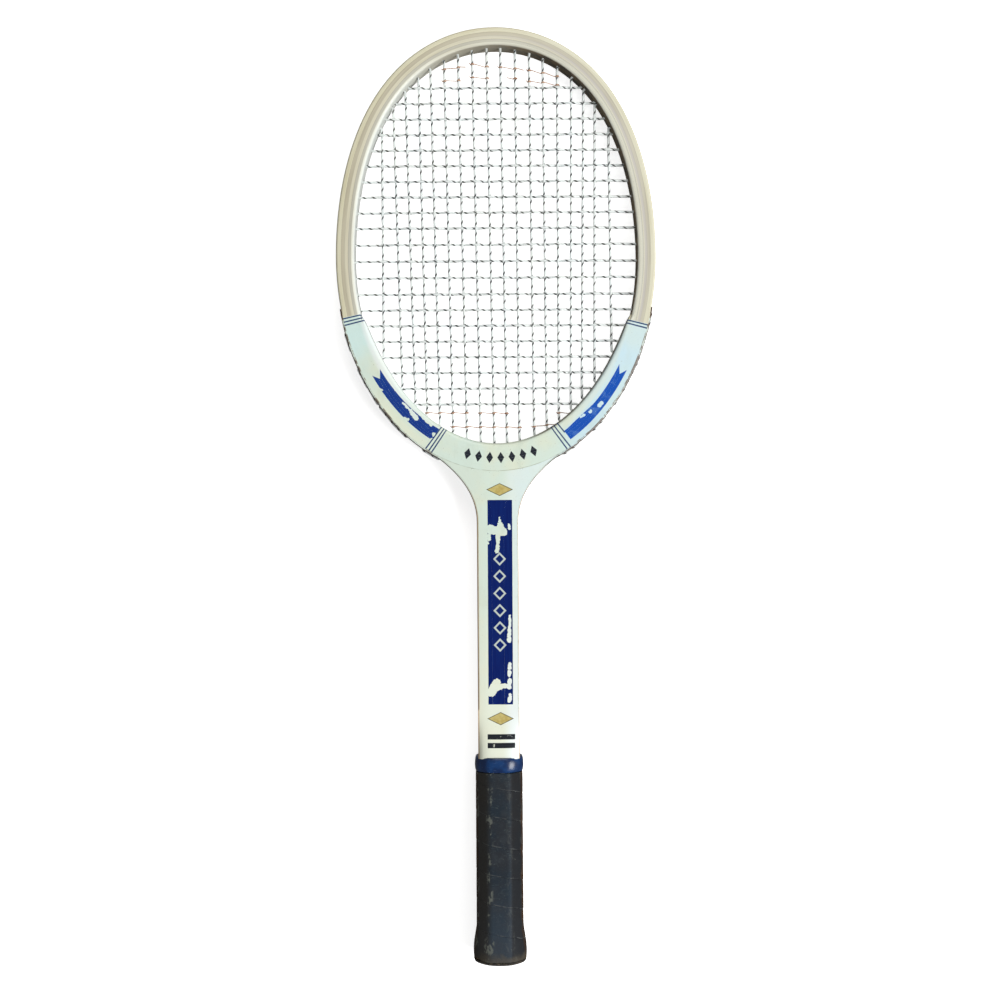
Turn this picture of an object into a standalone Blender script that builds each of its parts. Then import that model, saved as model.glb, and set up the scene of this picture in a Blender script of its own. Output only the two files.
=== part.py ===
"""A wooden tennis racket: laminated hoop, throat, shaft, wound leather handle and strung bed.

The racket is drawn with its butt at y = 0, its head toward +Y and the strings' middle plane at z = 0.
An empty then stands it on its lowest face, with the origin under the middle of the racket.
"""

import math

import bmesh
import bpy
from mathutils import Matrix, Vector

MM = 0.001

# Whole racket
LENGTH = 686 * MM
FRAME_DEPTH = 18 * MM
GAP = 0.3 * MM

# Hoop: an oval about its own centre, a little fuller than an ellipse above the middle
HOOP_CENTRE = 518 * MM
HOOP_HALF_WIDTH = 117.3 * MM
HOOP_TOP = LENGTH - HOOP_CENTRE
HOOP_BOTTOM = 157.4 * MM
HOOP_FULLNESS = 0.10
HOOP_STATIONS = 48
EDGE_RADIUS = 1.6 * MM

# Plies from the outside in: name, thickness with its glue gap, colour
PLIES = (
    ("outer_ply", 3.8 * MM, (0.73, 0.66, 0.38)),
    ("outer_dark_ply", 2.7 * MM, (0.45, 0.38, 0.24)),
    ("middle_ply", 2.5 * MM, (0.68, 0.58, 0.35)),
    ("inner_dark_ply", 2.0 * MM, (0.48, 0.45, 0.37)),
    ("inner_ply", 2.5 * MM, (0.79, 0.78, 0.58)),
)
PLY_STACK = sum(thickness for name, thickness, colour in PLIES)

# Throat crescent, thickest at the throat and feathered to its two ends
CRESCENT_THICKNESS = 6.9 * MM
CRESCENT_START = math.radians(19)
CRESCENT_FEATHER = math.radians(17)
CRESCENT_POWER = 2.5
CRESCENT_STATIONS = 26
CRESCENT_EDGE = 1.0 * MM

# Flare of the throat: half width against height, down to the straight shaft
SHAFT_HALF_WIDTH = 15.2 * MM
FLARE_FOOT = 322 * MM
FLARE_RISE = 50.4 * MM
FLARE_SPREAD = 31 * MM
FLARE_POWER = 2.23
FLARE_STATIONS = 12
STRIP_THICKNESS = 1.2 * MM
STRIP_TIP = 0.5 * MM
STRIP_START = math.radians(14)
STRIP_FULL = math.radians(24)
STRIP_LEAVES_HOOP = math.radians(67)
STRIP_SEATS_END = math.radians(72)
STRIP_STATIONS = 18
STRIP_EASE = 1.5 * MM

# Shaft laminations
CENTRE_HALF_WIDTH = 4.4 * MM
WEDGE_FOOT = 205 * MM
WEDGE_SPREAD = 0.75
SIDE_TOP_WIDTH = 2 * MM
CORNER_STEP = 1.5 * MM
ARCH_CORNER = 1.2 * MM

# Handle: an octagon, given by its half width, half depth and the half lengths of its flats
BUTT_PLATE = 2.7 * MM
WOOD_FOOT = 3 * MM
GRIP_HALF_WIDTH = 17.25 * MM
GRIP_HALF_DEPTH = 14.75 * MM
GRIP_FRONT_FLAT = 7.85 * MM
GRIP_SIDE_FLAT = 7.25 * MM
BUTT_HALF_WIDTH = 19.8 * MM
BUTT_HALF_DEPTH = 17 * MM
FLARE_TOP = 26.6 * MM
BUTT_FLARE_POWER = 1.3
LEATHER_THICKNESS = 1.75 * MM
LEATHER_TOP = 140 * MM
LEATHER_PITCH = 21.4 * MM
LEATHER_SEAM = 0.5 * MM
FIRST_SEAM = 43.4 * MM
LEATHER_ROWS = 3
LEATHER_TIP = 2 * MM
COLLAR_BOTTOM = 140.3 * MM
COLLAR_TOP = 151.2 * MM
COLLAR_HALF_WIDTH = 17.8 * MM
COLLAR_HALF_DEPTH = 15.3 * MM
PALLET_TOP = 186 * MM
PALLET_TIP = 0.6 * MM
PALLET_NARROWING = 0.4
MOULDER_MARGIN = 30 * MM
INNER_CORNER = math.tan(math.radians(21))
PLATE_ROUND = 1.2 * MM
BUTT_BUILD_UP_TOP = 15 * MM
TACK_HEAD_RADIUS = 2.2 * MM
TACK_HEAD_THICKNESS = 0.8 * MM
TACK_SHANK_RADIUS = 0.7 * MM
TACK_LENGTH = 6 * MM
TACK_SIDES = 10
TACK_HEIGHTS = (("grip_tack_butt", 30 * MM), ("grip_tack_top", 131 * MM))

# Strings
STRING_RADIUS = 0.65 * MM
MAINS_AT_TOP = (-83.5, -75, -66, -56.3, -47.4, -37.3, -27, -16.7, -6,
                4.1, 14.9, 25.3, 35.4, 46, 56.4, 65.3, 73.6, 83.6)
MAINS_AT_THROAT = (-83.2, -69.5, -60, -51.3, -41.9, -32.3, -22.1, -11.9, -2,
                   7.4, 16.6, 27.5, 36.8, 45.8, 54.6, 62.8, 72.2, 85)
CROSS_TOP = 643.6 * MM
CROSS_GAPS = ((9, 11.5 * MM), (4, 12.2 * MM), (7, 11.6 * MM))
BED_LAYER = 0.85 * MM
HOLE_LAYER = 1.6 * MM
HOLE_MOUTH = 1.2 * MM
GROOVE_SEAT = 0.9 * MM
PROUD_SEAT = 1.8 * MM
LOOP_CORNER = 1.1 * MM
SIDE_MARGIN = 0.05
HOLE_SIZE = 1.9 * MM
GROOVE_OPEN = 1.1 * MM
THREAD_RADIUS = 0.25 * MM
THREAD_LAYER = 2.1 * MM
THREADS = (
    ("trebling_thread_top_outer", 659.9 * MM, 36 * MM),
    ("trebling_thread_top_inner", 650.3 * MM, 46 * MM),
    ("trebling_thread_throat_inner", 403.6 * MM, 46 * MM),
    ("trebling_thread_throat_outer", 393.3 * MM, 36 * MM),
)


# Scene, collections and materials

def clear_scene():
    for item in list(bpy.data.objects):
        bpy.data.objects.remove(item)


def new_collection(name):
    collection = bpy.data.collections.new(name)
    bpy.context.scene.collection.children.link(collection)
    return collection


def new_material(name, colour, roughness, metallic=0.0):
    material = bpy.data.materials.new(name)
    material.use_nodes = True
    shader = material.node_tree.nodes["Principled BSDF"]
    shader.inputs["Base Color"].default_value = (*colour, 1)
    shader.inputs["Roughness"].default_value = roughness
    shader.inputs["Metallic"].default_value = metallic
    return material


def place(name, data, material=None):
    """Makes a part's object, in the racket's collection and under the racket's empty."""
    part = bpy.data.objects.new(name, data)
    parts.objects.link(part)
    part.parent = racket
    if material:
        data.materials.append(material)
    return part


def place_cutter(name, mesh):
    cutter = bpy.data.objects.new(name, mesh)
    cutters.objects.link(cutter)
    cutter.parent = racket
    cutter.hide_render = True
    cutter.display_type = "WIRE"
    return cutter


def mesh_from_curve(curve):
    """Turns a curve into a closed mesh: caps welded and flat areas made one face each."""
    holder = bpy.data.objects.new("holder", curve)
    bpy.context.scene.collection.objects.link(holder)
    evaluated = holder.evaluated_get(bpy.context.evaluated_depsgraph_get())
    mesh = bpy.data.meshes.new_from_object(evaluated)
    bpy.data.objects.remove(holder)
    shape = bmesh.new()
    shape.from_mesh(mesh)
    bmesh.ops.remove_doubles(shape, verts=shape.verts, dist=1e-6)
    bmesh.ops.dissolve_limit(shape, angle_limit=math.radians(0.05), verts=shape.verts, edges=shape.edges)
    bmesh.ops.recalc_face_normals(shape, faces=shape.faces)
    shape.to_mesh(mesh)
    shape.free()
    return mesh


def outline_curve(outlines, half_thickness):
    """A flat 2D curve, filled on both faces. A second outline is a hole in the first."""
    curve = bpy.data.curves.new("outline", "CURVE")
    curve.dimensions = "2D"
    curve.fill_mode = "BOTH"
    curve.extrude = half_thickness
    for outline in outlines:
        spline = curve.splines.new("POLY")
        spline.points.add(len(outline) - 1)
        spline.use_cyclic_u = True
        for point, (x, y) in zip(spline.points, outline):
            point.co = (x, y, 0, 1)
    return curve


def tube_curve(name, points, radius, resolution):
    curve = bpy.data.curves.new(name, "CURVE")
    curve.dimensions = "3D"
    curve.bevel_depth = radius
    curve.bevel_resolution = resolution
    curve.use_fill_caps = True
    spline = curve.splines.new("POLY")
    spline.points.add(len(points) - 1)
    for point, position in zip(spline.points, points):
        point.co = (*position, 1)
    return curve


def flat_piece(name, outline, material):
    """A piece sawn to an outline from a board as deep as the frame."""
    return place(name, mesh_from_curve(outline_curve([outline], FRAME_DEPTH / 2)), material)


def cut(part, cutter):
    boolean = part.modifiers.new("cut_by_" + cutter.name, "BOOLEAN")
    boolean.operation = "DIFFERENCE"
    boolean.solver = "EXACT"
    boolean.object = cutter


# Curves that the pieces share

def hoop_normal(angle):
    c, s = math.cos(angle), math.sin(angle)
    fullness = HOOP_FULLNESS if s > 0 else 0
    rise = HOOP_TOP if s > 0 else HOOP_BOTTOM
    along = Vector((HOOP_HALF_WIDTH * s * (2 * fullness * c * c - 1 - fullness * s * s), rise * c))
    return Vector((along.y, -along.x)).normalized()


def hoop_point(angle, depth):
    """A point on the hoop's outline, or depth inside it, at an angle from the +X side."""
    c, s = math.cos(angle), math.sin(angle)
    fullness = HOOP_FULLNESS if s > 0 else 0
    rise = HOOP_TOP if s > 0 else HOOP_BOTTOM
    outline = Vector((HOOP_HALF_WIDTH * c * (1 + fullness * s * s), HOOP_CENTRE + rise * s))
    return outline - hoop_normal(angle) * depth


def below_middle(angle):
    """How far an angle lies below the head's middle, from the nearer side. It is 0 above the middle."""
    below = max(0, -math.atan2(math.sin(angle), math.cos(angle)))
    return min(below, math.pi - below)


def crescent_thickness(angle):
    unfeathered = (math.pi / 2 - below_middle(angle)) / (math.pi / 2 - CRESCENT_FEATHER)
    return CRESCENT_THICKNESS * math.sqrt(1 - unfeathered ** CRESCENT_POWER)


def opening_depth(angle):
    """How deep the wood is from the hoop's outline to the opening."""
    if below_middle(angle) < CRESCENT_START:
        return PLY_STACK
    return PLY_STACK + GAP + crescent_thickness(angle)


def flare_half_width(y):
    """Half the throat's width at a height, over the strips."""
    if y <= FLARE_FOOT:
        return SHAFT_HALF_WIDTH
    return SHAFT_HALF_WIDTH + FLARE_SPREAD * ((y - FLARE_FOOT) / FLARE_RISE) ** FLARE_POWER


def strip_paths():
    """The right strip's inner and outer edges, from its tip on the shoulder down to the butt."""
    inner, outer = [], []
    for i in range(STRIP_STATIONS + 1):
        below = STRIP_START + (STRIP_LEAVES_HOOP - STRIP_START) * i / STRIP_STATIONS
        grown = min(1, (below - STRIP_START) / (STRIP_FULL - STRIP_START))
        thickness = STRIP_TIP + (STRIP_THICKNESS - STRIP_TIP) * grown
        inner.append(hoop_point(-below, -GAP))
        outer.append(hoop_point(-below, -GAP - thickness))
    top = outer[-1].y - STRIP_EASE
    for i in range(1, FLARE_STATIONS + 1):
        y = top + (FLARE_FOOT - top) * (i / FLARE_STATIONS) ** 1.5
        slope = (flare_half_width(y + MM) - flare_half_width(y - MM)) / (2 * MM)
        inward = Vector((-1, slope)).normalized()
        edge = Vector((flare_half_width(y), y))
        outer.append(edge)
        inner.append(edge + inward * STRIP_THICKNESS)
    outer.append(Vector((SHAFT_HALF_WIDTH, WOOD_FOOT)))
    inner.append(Vector((SHAFT_HALF_WIDTH - STRIP_THICKNESS, WOOD_FOOT)))
    return inner, outer


def hoop_edge_between(x_start, x_end, count):
    """Points just below the hoop's outline at the throat, from one x to another."""
    points = []
    for i in range(count + 1):
        x = x_start + (x_end - x_start) * i / count
        angle = -math.acos(x / HOOP_HALF_WIDTH)
        for _ in range(6):
            angle += (x - hoop_point(angle, -GAP).x) / (HOOP_HALF_WIDTH * math.sin(-angle))
        points.append(hoop_point(angle, -GAP))
    return points


def mirrored(points):
    return [Vector((-p.x, p.y)) for p in points]


# Hoop

def ply_profile(thickness, round_outside, round_inside):
    """A ply's section for a bevelled curve: x towards the opening, y through the racket's depth."""
    half, depth = thickness / 2, FRAME_DEPTH / 2
    corners = [(half, depth, round_inside), (half, -depth, round_inside)]
    corners += [(-half, -depth, round_outside), (-half, depth, round_outside)]
    points = []
    for x, y, rounded in corners:
        if not rounded:
            points.append((x, y))
            continue
        sx, sy = math.copysign(1, x), math.copysign(1, y)
        arc = [(1, 0), (math.sqrt(0.5), math.sqrt(0.5)), (0, 1)]
        if sx * sy > 0:
            arc.reverse()
        centre = (x - sx * EDGE_RADIUS, y - sy * EDGE_RADIUS)
        points += [(centre[0] + sx * a * EDGE_RADIUS, centre[1] + sy * b * EDGE_RADIUS) for a, b in arc]
    return points


def make_plies():
    plies = []
    depth = 0
    for index, (name, thickness, colour) in enumerate(PLIES):
        outermost, innermost = index == 0, index == len(PLIES) - 1
        outside = depth if outermost else depth + GAP / 2
        inside = depth + thickness if innermost else depth + thickness - GAP / 2
        profile = outline_curve([ply_profile(inside - outside, outermost, innermost)], 0)
        profile_guide = bpy.data.objects.new("profile", profile)
        bpy.context.scene.collection.objects.link(profile_guide)
        path = bpy.data.curves.new(name, "CURVE")
        path.dimensions = "2D"
        path.fill_mode = "NONE"
        path.bevel_mode = "OBJECT"
        path.bevel_object = profile_guide
        spline = path.splines.new("POLY")
        spline.points.add(HOOP_STATIONS - 1)
        spline.use_cyclic_u = True
        for i, point in enumerate(spline.points):
            middle = hoop_point(2 * math.pi * i / HOOP_STATIONS, (outside + inside) / 2)
            point.co = (*middle, 0, 1)
        ply = place(name, mesh_from_curve(path), new_material(name, colour, 0.35))
        bpy.data.objects.remove(profile_guide)
        ply.data.shade_smooth()
        ply.data.set_sharp_from_angle(angle=math.radians(30))
        plies.append(ply)
        depth += thickness
    return plies


def make_crescent():
    outer, inner = [], []
    for i in range(CRESCENT_STATIONS + 1):
        below = CRESCENT_START + (math.pi - 2 * CRESCENT_START) * i / CRESCENT_STATIONS
        outer.append(hoop_point(-below, PLY_STACK + GAP))
        inner.append(hoop_point(-below, PLY_STACK + GAP + crescent_thickness(-below)))
    material = new_material("crescent", (0.70, 0.79, 0.68), 0.35)
    crescent = flat_piece("throat_crescent", outer + inner[::-1], material)
    weights = crescent.data.attributes.new("bevel_weight_edge", "FLOAT", "EDGE")
    for edge in crescent.data.edges:
        ends = [crescent.data.vertices[v].co for v in edge.vertices]
        on_opening = all(min((end.xy - p).length for p in inner) < GAP / 2 for end in ends)
        along_rim = abs(ends[0].z - ends[1].z) < GAP
        weights.data[edge.index].value = 1 if on_opening and along_rim else 0
    bevel = crescent.modifiers.new("rounded_opening", "BEVEL")
    bevel.limit_method = "WEIGHT"
    bevel.width = CRESCENT_EDGE
    bevel.segments = 1
    return crescent


# Throat and shaft

def make_strips():
    material = new_material("shoulder_strips", (0.10, 0.06, 0.03), 0.4)
    inner, outer = strip_paths()
    right = flat_piece("shoulder_strip_right", inner + outer[::-1], material)
    left = flat_piece("shoulder_strip_left", mirrored(inner + outer[::-1]), material)
    return [left, right]


def make_throat():
    """The wedge under the hoop and the two side laminations outside it, all sawn to fit."""
    inner, outer = strip_paths()
    side_edge = [p + Vector((-GAP, 0)) for p in inner if p.x > hoop_edge_x(p.y) + SIDE_TOP_WIDTH]
    sides_top = side_edge[0]
    centre = CENTRE_HALF_WIDTH
    straight = SHAFT_HALF_WIDTH - STRIP_THICKNESS - GAP
    wedge_edge = [Vector((centre + (p.x - straight) * WEDGE_SPREAD, p.y)) for p in side_edge]
    wedge_edge = [p for p in wedge_edge if p.x > hoop_edge_x(p.y)]
    lamination_edge = [p + Vector((GAP, 0)) for p in wedge_edge]
    top = hoop_edge_between(lamination_edge[0].x + CORNER_STEP, sides_top.x - CORNER_STEP, 6)
    right_outline = side_edge + lamination_edge[::-1] + top
    wood = new_material("throat_ash", (0.78, 0.76, 0.60), 0.35)
    pieces = [flat_piece("side_lamination_right", right_outline, wood)]
    pieces.append(flat_piece("side_lamination_left", mirrored(right_outline), wood))

    wedge_foot = [Vector((centre, WEDGE_FOOT)), Vector((-centre, WEDGE_FOOT))]
    wedge_side = [p for p in wedge_edge if p.y > WEDGE_FOOT]
    arch = hoop_edge_between(-wedge_side[0].x - ARCH_CORNER, wedge_side[0].x + ARCH_CORNER, 10)
    wedge_outline = wedge_side + wedge_foot + mirrored(wedge_side)[::-1] + arch
    pieces.append(flat_piece("throat_wedge", wedge_outline, new_material("wedge", (0.74, 0.7, 0.5), 0.35)))

    core_top = WEDGE_FOOT - GAP
    core = [(centre, WOOD_FOOT), (centre, core_top), (-centre, core_top), (-centre, WOOD_FOOT)]
    pieces.append(flat_piece("shaft_core", core, new_material("shaft_core", (0.7, 0.62, 0.42), 0.4)))
    return pieces


def hoop_edge_x(y):
    """The x at which the hoop's outline, with the glue gap, stands at a height in the throat."""
    s = min(1, (HOOP_CENTRE - y + GAP) / (HOOP_BOTTOM + GAP))
    return max(0, HOOP_HALF_WIDTH * math.sqrt(1 - s * s))


# Handle

def butt_growth(y):
    """How far the butt's flare has grown at a height, from 0 on the straight grip to 1 at y = 0."""
    return (max(0, FLARE_TOP - y) / FLARE_TOP) ** BUTT_FLARE_POWER


def handle_octagon(y, inset):
    """The handle's eight corners as x and z, inset below the leather's outer face."""
    growth = butt_growth(y)
    width = GRIP_HALF_WIDTH + (BUTT_HALF_WIDTH - GRIP_HALF_WIDTH) * growth - inset
    depth = GRIP_HALF_DEPTH + (BUTT_HALF_DEPTH - GRIP_HALF_DEPTH) * growth - inset
    corner = inset * INNER_CORNER
    front = GRIP_FRONT_FLAT * width / GRIP_HALF_WIDTH - corner * (1 - inset / width)
    side = GRIP_SIDE_FLAT * depth / GRIP_HALF_DEPTH - corner * (1 - inset / depth)
    quarter = [(front, depth), (-front, depth), (-width, side), (-width, -side)]
    return quarter + [(-x, -z) for x, z in quarter]


def octagon_solid(stations):
    """Lofts eight-sided sections given as height and corners, with flat ends."""
    shape = bmesh.new()
    rings = [[shape.verts.new((x, y, z)) for x, z in corners] for y, corners in stations]
    for lower, upper in zip(rings, rings[1:]):
        for i in range(8):
            shape.faces.new((lower[i], lower[(i + 1) % 8], upper[(i + 1) % 8], upper[i]))
    shape.faces.new(rings[0])
    shape.faces.new(rings[-1][::-1])
    bmesh.ops.recalc_face_normals(shape, faces=shape.faces)
    mesh = bpy.data.meshes.new("octagon")
    shape.to_mesh(mesh)
    shape.free()
    return mesh


def make_moulder():
    """The waste round the eight-sided handle: all that the moulding cutter takes off the blank."""
    inset = LEATHER_THICKNESS + GAP
    middle = COLLAR_TOP / 2
    octagon = handle_octagon(FLARE_TOP, inset)
    far = MOULDER_MARGIN
    block = [(-far, -far), (far, -far), (far, far), (-far, far)]
    mesh = mesh_from_curve(outline_curve([block, octagon], middle))
    for vertex in mesh.vertices:
        x, z, y = vertex.co
        vertex.co = (x, middle - y + GAP, z)
    return place_cutter("moulder", mesh)


def make_pallets():
    """Front and back cheeks that deepen the handle and feather out on the shaft, narrower on top."""
    low = FRAME_DEPTH / 2 + GAP
    high = GRIP_HALF_DEPTH - LEATHER_THICKNESS - GAP
    slope = [(PALLET_TOP, low + PALLET_TIP), (COLLAR_TOP, high)]
    side = [(WOOD_FOOT, low), (PALLET_TOP, low), *slope, (WOOD_FOOT, high)]
    material = new_material("pallet_ash", (0.78, 0.74, 0.55), 0.4)
    pallets = []
    for name, face in (("handle_pallet_front", 1), ("handle_pallet_back", -1)):
        mesh = mesh_from_curve(outline_curve([side], SHAFT_HALF_WIDTH))
        for vertex in mesh.vertices:
            y, z, x = vertex.co
            narrowed = 1 - PALLET_NARROWING * (z - low) / (high - low)
            vertex.co = (x * face * narrowed, y, z * face)
        pallets.append(place(name, mesh, material))
    return pallets


def make_butt_flare():
    heights = (WOOD_FOOT, (WOOD_FOOT + BUTT_BUILD_UP_TOP) / 2, BUTT_BUILD_UP_TOP)
    inset = LEATHER_THICKNESS + GAP
    flare = octagon_solid([(y, handle_octagon(y, inset)) for y in heights])
    blank = octagon_solid([(y, handle_octagon(FLARE_TOP, inset - GAP)) for y in (0, FLARE_TOP)])
    part = place("butt_flare", flare, new_material("butt_flare", (0.62, 0.5, 0.32), 0.5))
    cut(part, place_cutter("handle_blank", blank))
    return part


def make_butt_plate():
    plate = octagon_solid([(y, handle_octagon(0, 0)) for y in (0, BUTT_PLATE)])
    part = place("butt_plate", plate, new_material("butt_plate", (0.012, 0.012, 0.014), 0.45))
    bevel = part.modifiers.new("rounded", "BEVEL")
    bevel.width = PLATE_ROUND
    bevel.segments = 2
    bevel.limit_method = "ANGLE"
    bevel.angle_limit = math.radians(60)
    return part


def make_collar():
    inner = handle_octagon(COLLAR_TOP, LEATHER_THICKNESS)
    outer = []
    for x, z in handle_octagon(COLLAR_TOP, 0):
        outer.append((x * COLLAR_HALF_WIDTH / GRIP_HALF_WIDTH, z * COLLAR_HALF_DEPTH / GRIP_HALF_DEPTH))
    mesh = mesh_from_curve(outline_curve([outer, inner], (COLLAR_TOP - COLLAR_BOTTOM) / 2))
    middle = (COLLAR_TOP + COLLAR_BOTTOM) / 2
    for vertex in mesh.vertices:
        x, z, y = vertex.co
        vertex.co = (x, middle - y, z)
    return place("collar_band", mesh, new_material("collar_band", (0.008, 0.026, 0.127), 0.2))


def leather_point(turn, y):
    """A point of the leather's inner face: turn counts the octagon's corners passed so far."""
    corners = handle_octagon(y, LEATHER_THICKNESS)
    whole = math.floor(turn + 1e-9)
    part = turn - whole
    x0, z0 = corners[whole % 8]
    x1, z1 = corners[(whole + 1) % 8]
    return (x0 + (x1 - x0) * part, y, z0 + (z1 - z0) * part)


def make_leather():
    """One strip wound up the handle. Its edges are trimmed level at the butt and under the collar."""
    bottom, top = WOOD_FOOT, LEATHER_TOP
    width = LEATHER_PITCH - LEATHER_SEAM
    start = 0.5 + 8 * (bottom + LEATHER_TIP - width - FIRST_SEAM) / LEATHER_PITCH
    end = 0.5 + 8 * (top - LEATHER_TIP - FIRST_SEAM) / LEATHER_PITCH
    trims = [0.5 + 8 * (y - FIRST_SEAM) / LEATHER_PITCH for y in (bottom, top - width)]
    turns = sorted([start, end, *trims, *range(math.ceil(start + 0.2), math.floor(end - 0.2) + 1)])
    shape = bmesh.new()
    columns = []
    for turn in turns:
        low = FIRST_SEAM + LEATHER_PITCH * (turn - 0.5) / 8
        high = min(top, low + width)
        low = max(bottom, low)
        rows = [low + (high - low) * i / (LEATHER_ROWS - 1) for i in range(LEATHER_ROWS)]
        columns.append([shape.verts.new(leather_point(turn, y)) for y in rows])
    for before, after in zip(columns, columns[1:]):
        for i in range(LEATHER_ROWS - 1):
            shape.faces.new((before[i], before[i + 1], after[i + 1], after[i]))
    mesh = bpy.data.meshes.new("leather_grip")
    shape.to_mesh(mesh)
    shape.free()
    leather = place("leather_grip", mesh, new_material("leather_grip", (0.022, 0.028, 0.04), 0.6))
    solidify = leather.modifiers.new("thickness", "SOLIDIFY")
    solidify.thickness = LEATHER_THICKNESS - GAP / 2
    solidify.offset = 1
    solidify.use_even_offset = True
    return leather


def make_tacks(drilled):
    """Tacks through the back of the leather, each with a hole through all that it passes."""
    material = new_material("tack_steel", (0.5, 0.5, 0.5), 0.35, 1.0)
    surface = GRIP_HALF_DEPTH + GAP
    for name, y in TACK_HEIGHTS:
        tack = place(name, turned_mesh(tack_profile(0)), material)
        tack.location = (0, y, 0)
        turn(tack, TACK_SIDES)
        hole = place_cutter(name + "_hole", turned_mesh(tack_profile(GAP)))
        hole.location = (0, y, 0)
        turn(hole, TACK_SIDES - 4)
        for part in drilled:
            cut(part, hole)


def tack_profile(clearance):
    """Half a tack's section as radius and depth below the racket's middle, from head to tip."""
    surface = -GRIP_HALF_DEPTH - GAP
    head = TACK_HEAD_RADIUS
    shank = TACK_SHANK_RADIUS + clearance
    tip = surface + TACK_LENGTH + clearance
    return [(0, surface - TACK_HEAD_THICKNESS), (head, surface), (shank, surface), (shank, tip), (0, tip)]


def turned_mesh(profile):
    mesh = bpy.data.meshes.new("profile")
    edges = [(i, i + 1) for i in range(len(profile) - 1)]
    mesh.from_pydata([(x, 0, z) for x, z in profile[::-1]], edges, [])
    return mesh


def turn(part, sides):
    screw = part.modifiers.new("turned", "SCREW")
    screw.steps = sides
    screw.render_steps = sides
    screw.use_merge_vertices = True
    screw.merge_threshold = 0.01 * MM


# Strings

def angle_where(target, axis, low, high):
    """The hoop angle whose string hole opens at a given x (axis 0) or y (axis 1)."""
    for _ in range(40):
        middle = (low + high) / 2
        inside = hole_mouth(middle)[axis] - target
        rising = hole_mouth(high)[axis] > hole_mouth(low)[axis]
        if (inside > 0) == rising:
            high = middle
        else:
            low = middle
    return (low + high) / 2


def hole_mouth(angle):
    return hoop_point(angle, opening_depth(angle) + HOLE_MOUTH)


def string_seat(angle):
    """How far outside the hoop's outline a loop lies: in a groove, or proud of a shoulder strip."""
    on_strip = STRIP_START < below_middle(angle) < STRIP_SEATS_END
    return PROUD_SEAT if on_strip else -GROOVE_SEAT


def loop_points(first, second, layer):
    """The part of a string that leaves one hole, lies along the outside and enters the next."""
    middle = (first + second) / 2
    seat = string_seat(middle)
    outside = [hoop_point(angle, -seat) for angle in (first, second)]
    along = (outside[1] - outside[0]).normalized() * LOOP_CORNER
    inward = [hoop_normal(angle) * -LOOP_CORNER for angle in (first, second)]
    route = [outside[0] + inward[0], outside[0] + along, outside[1] - along, outside[1] + inward[1]]
    return [Vector((*p, layer)) for p in route]


def string_route(runs, sign):
    """Joins straight runs across the bed with loops outside. A run is its two hole angles."""
    outermost = (runs[0][0], runs[-1][1])
    free_ends = [Vector((*hoop_point(angle, GROOVE_SEAT), sign * HOLE_LAYER)) for angle in outermost]
    points = [free_ends[0]]
    for index, run in enumerate(runs):
        points += [Vector((*hole_mouth(angle), sign * BED_LAYER)) for angle in run]
        if index + 1 < len(runs):
            points += loop_points(run[1], runs[index + 1][0], sign * HOLE_LAYER)
    return points + [free_ends[1]]


def main_runs():
    """Down and up in turn, from the outermost main on the left to the outermost on the right."""
    runs = []
    for index, (x_top, x_throat) in enumerate(zip(MAINS_AT_TOP, MAINS_AT_THROAT)):
        top = angle_where(x_top * MM, 0, SIDE_MARGIN, math.pi - SIDE_MARGIN)
        bottom = angle_where(x_throat * MM, 0, -math.pi + SIDE_MARGIN, -SIDE_MARGIN)
        runs.append((top, bottom) if index % 2 == 0 else (bottom, top))
    return runs


def cross_runs():
    """Right and left in turn, from the top of the head to the throat."""
    heights = [CROSS_TOP]
    for count, gap in CROSS_GAPS:
        heights += [heights[-1] - gap * i for i in range(1, count + 1)]
    runs = []
    for index, y in enumerate(heights):
        right = angle_where(y, 1, -math.pi / 2 + SIDE_MARGIN, math.pi / 2 - SIDE_MARGIN)
        left = math.pi - right
        left = left - 2 * math.pi if left > math.pi else left
        runs.append((left, right) if index % 2 == 0 else (right, left))
    return runs


def unwrapped(runs):
    """Left-side angles of neighbouring holes kept on one side of the half turn."""
    result = []
    for start, end in runs:
        result.append(tuple(a + 2 * math.pi if a < -math.pi / 2 else a for a in (start, end)))
    return result


def least_gap(points, radius, own_stretch):
    """The least gap between a tube's surface and itself, measured on points along it."""
    dense, lengths, total = [], [], 0
    for a, b in zip(points, points[1:]):
        steps = max(1, math.ceil((b - a).length / (2 * MM)))
        for i in range(steps):
            dense.append(a.lerp(b, i / steps))
            lengths.append(total + (b - a).length * i / steps)
        total += (b - a).length
    best = math.inf
    for i, p in enumerate(dense):
        for j in range(i + 1, len(dense)):
            if lengths[j] - lengths[i] > own_stretch:
                best = min(best, (dense[j] - p).length_squared)
    return math.sqrt(best) - 2 * radius


def add_bar(shape, start, end, height, depth):
    """A square bar from one point to another, as a cutter for a hole or a groove."""
    along = end - start
    across = Vector((0, 0, 1)).cross(along).normalized()
    up = along.cross(across).normalized()
    matrix = Matrix((along, across * height, up * depth)).transposed().to_4x4()
    matrix.translation = (start + end) / 2
    bmesh.ops.create_cube(shape, size=1, matrix=matrix)


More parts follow.
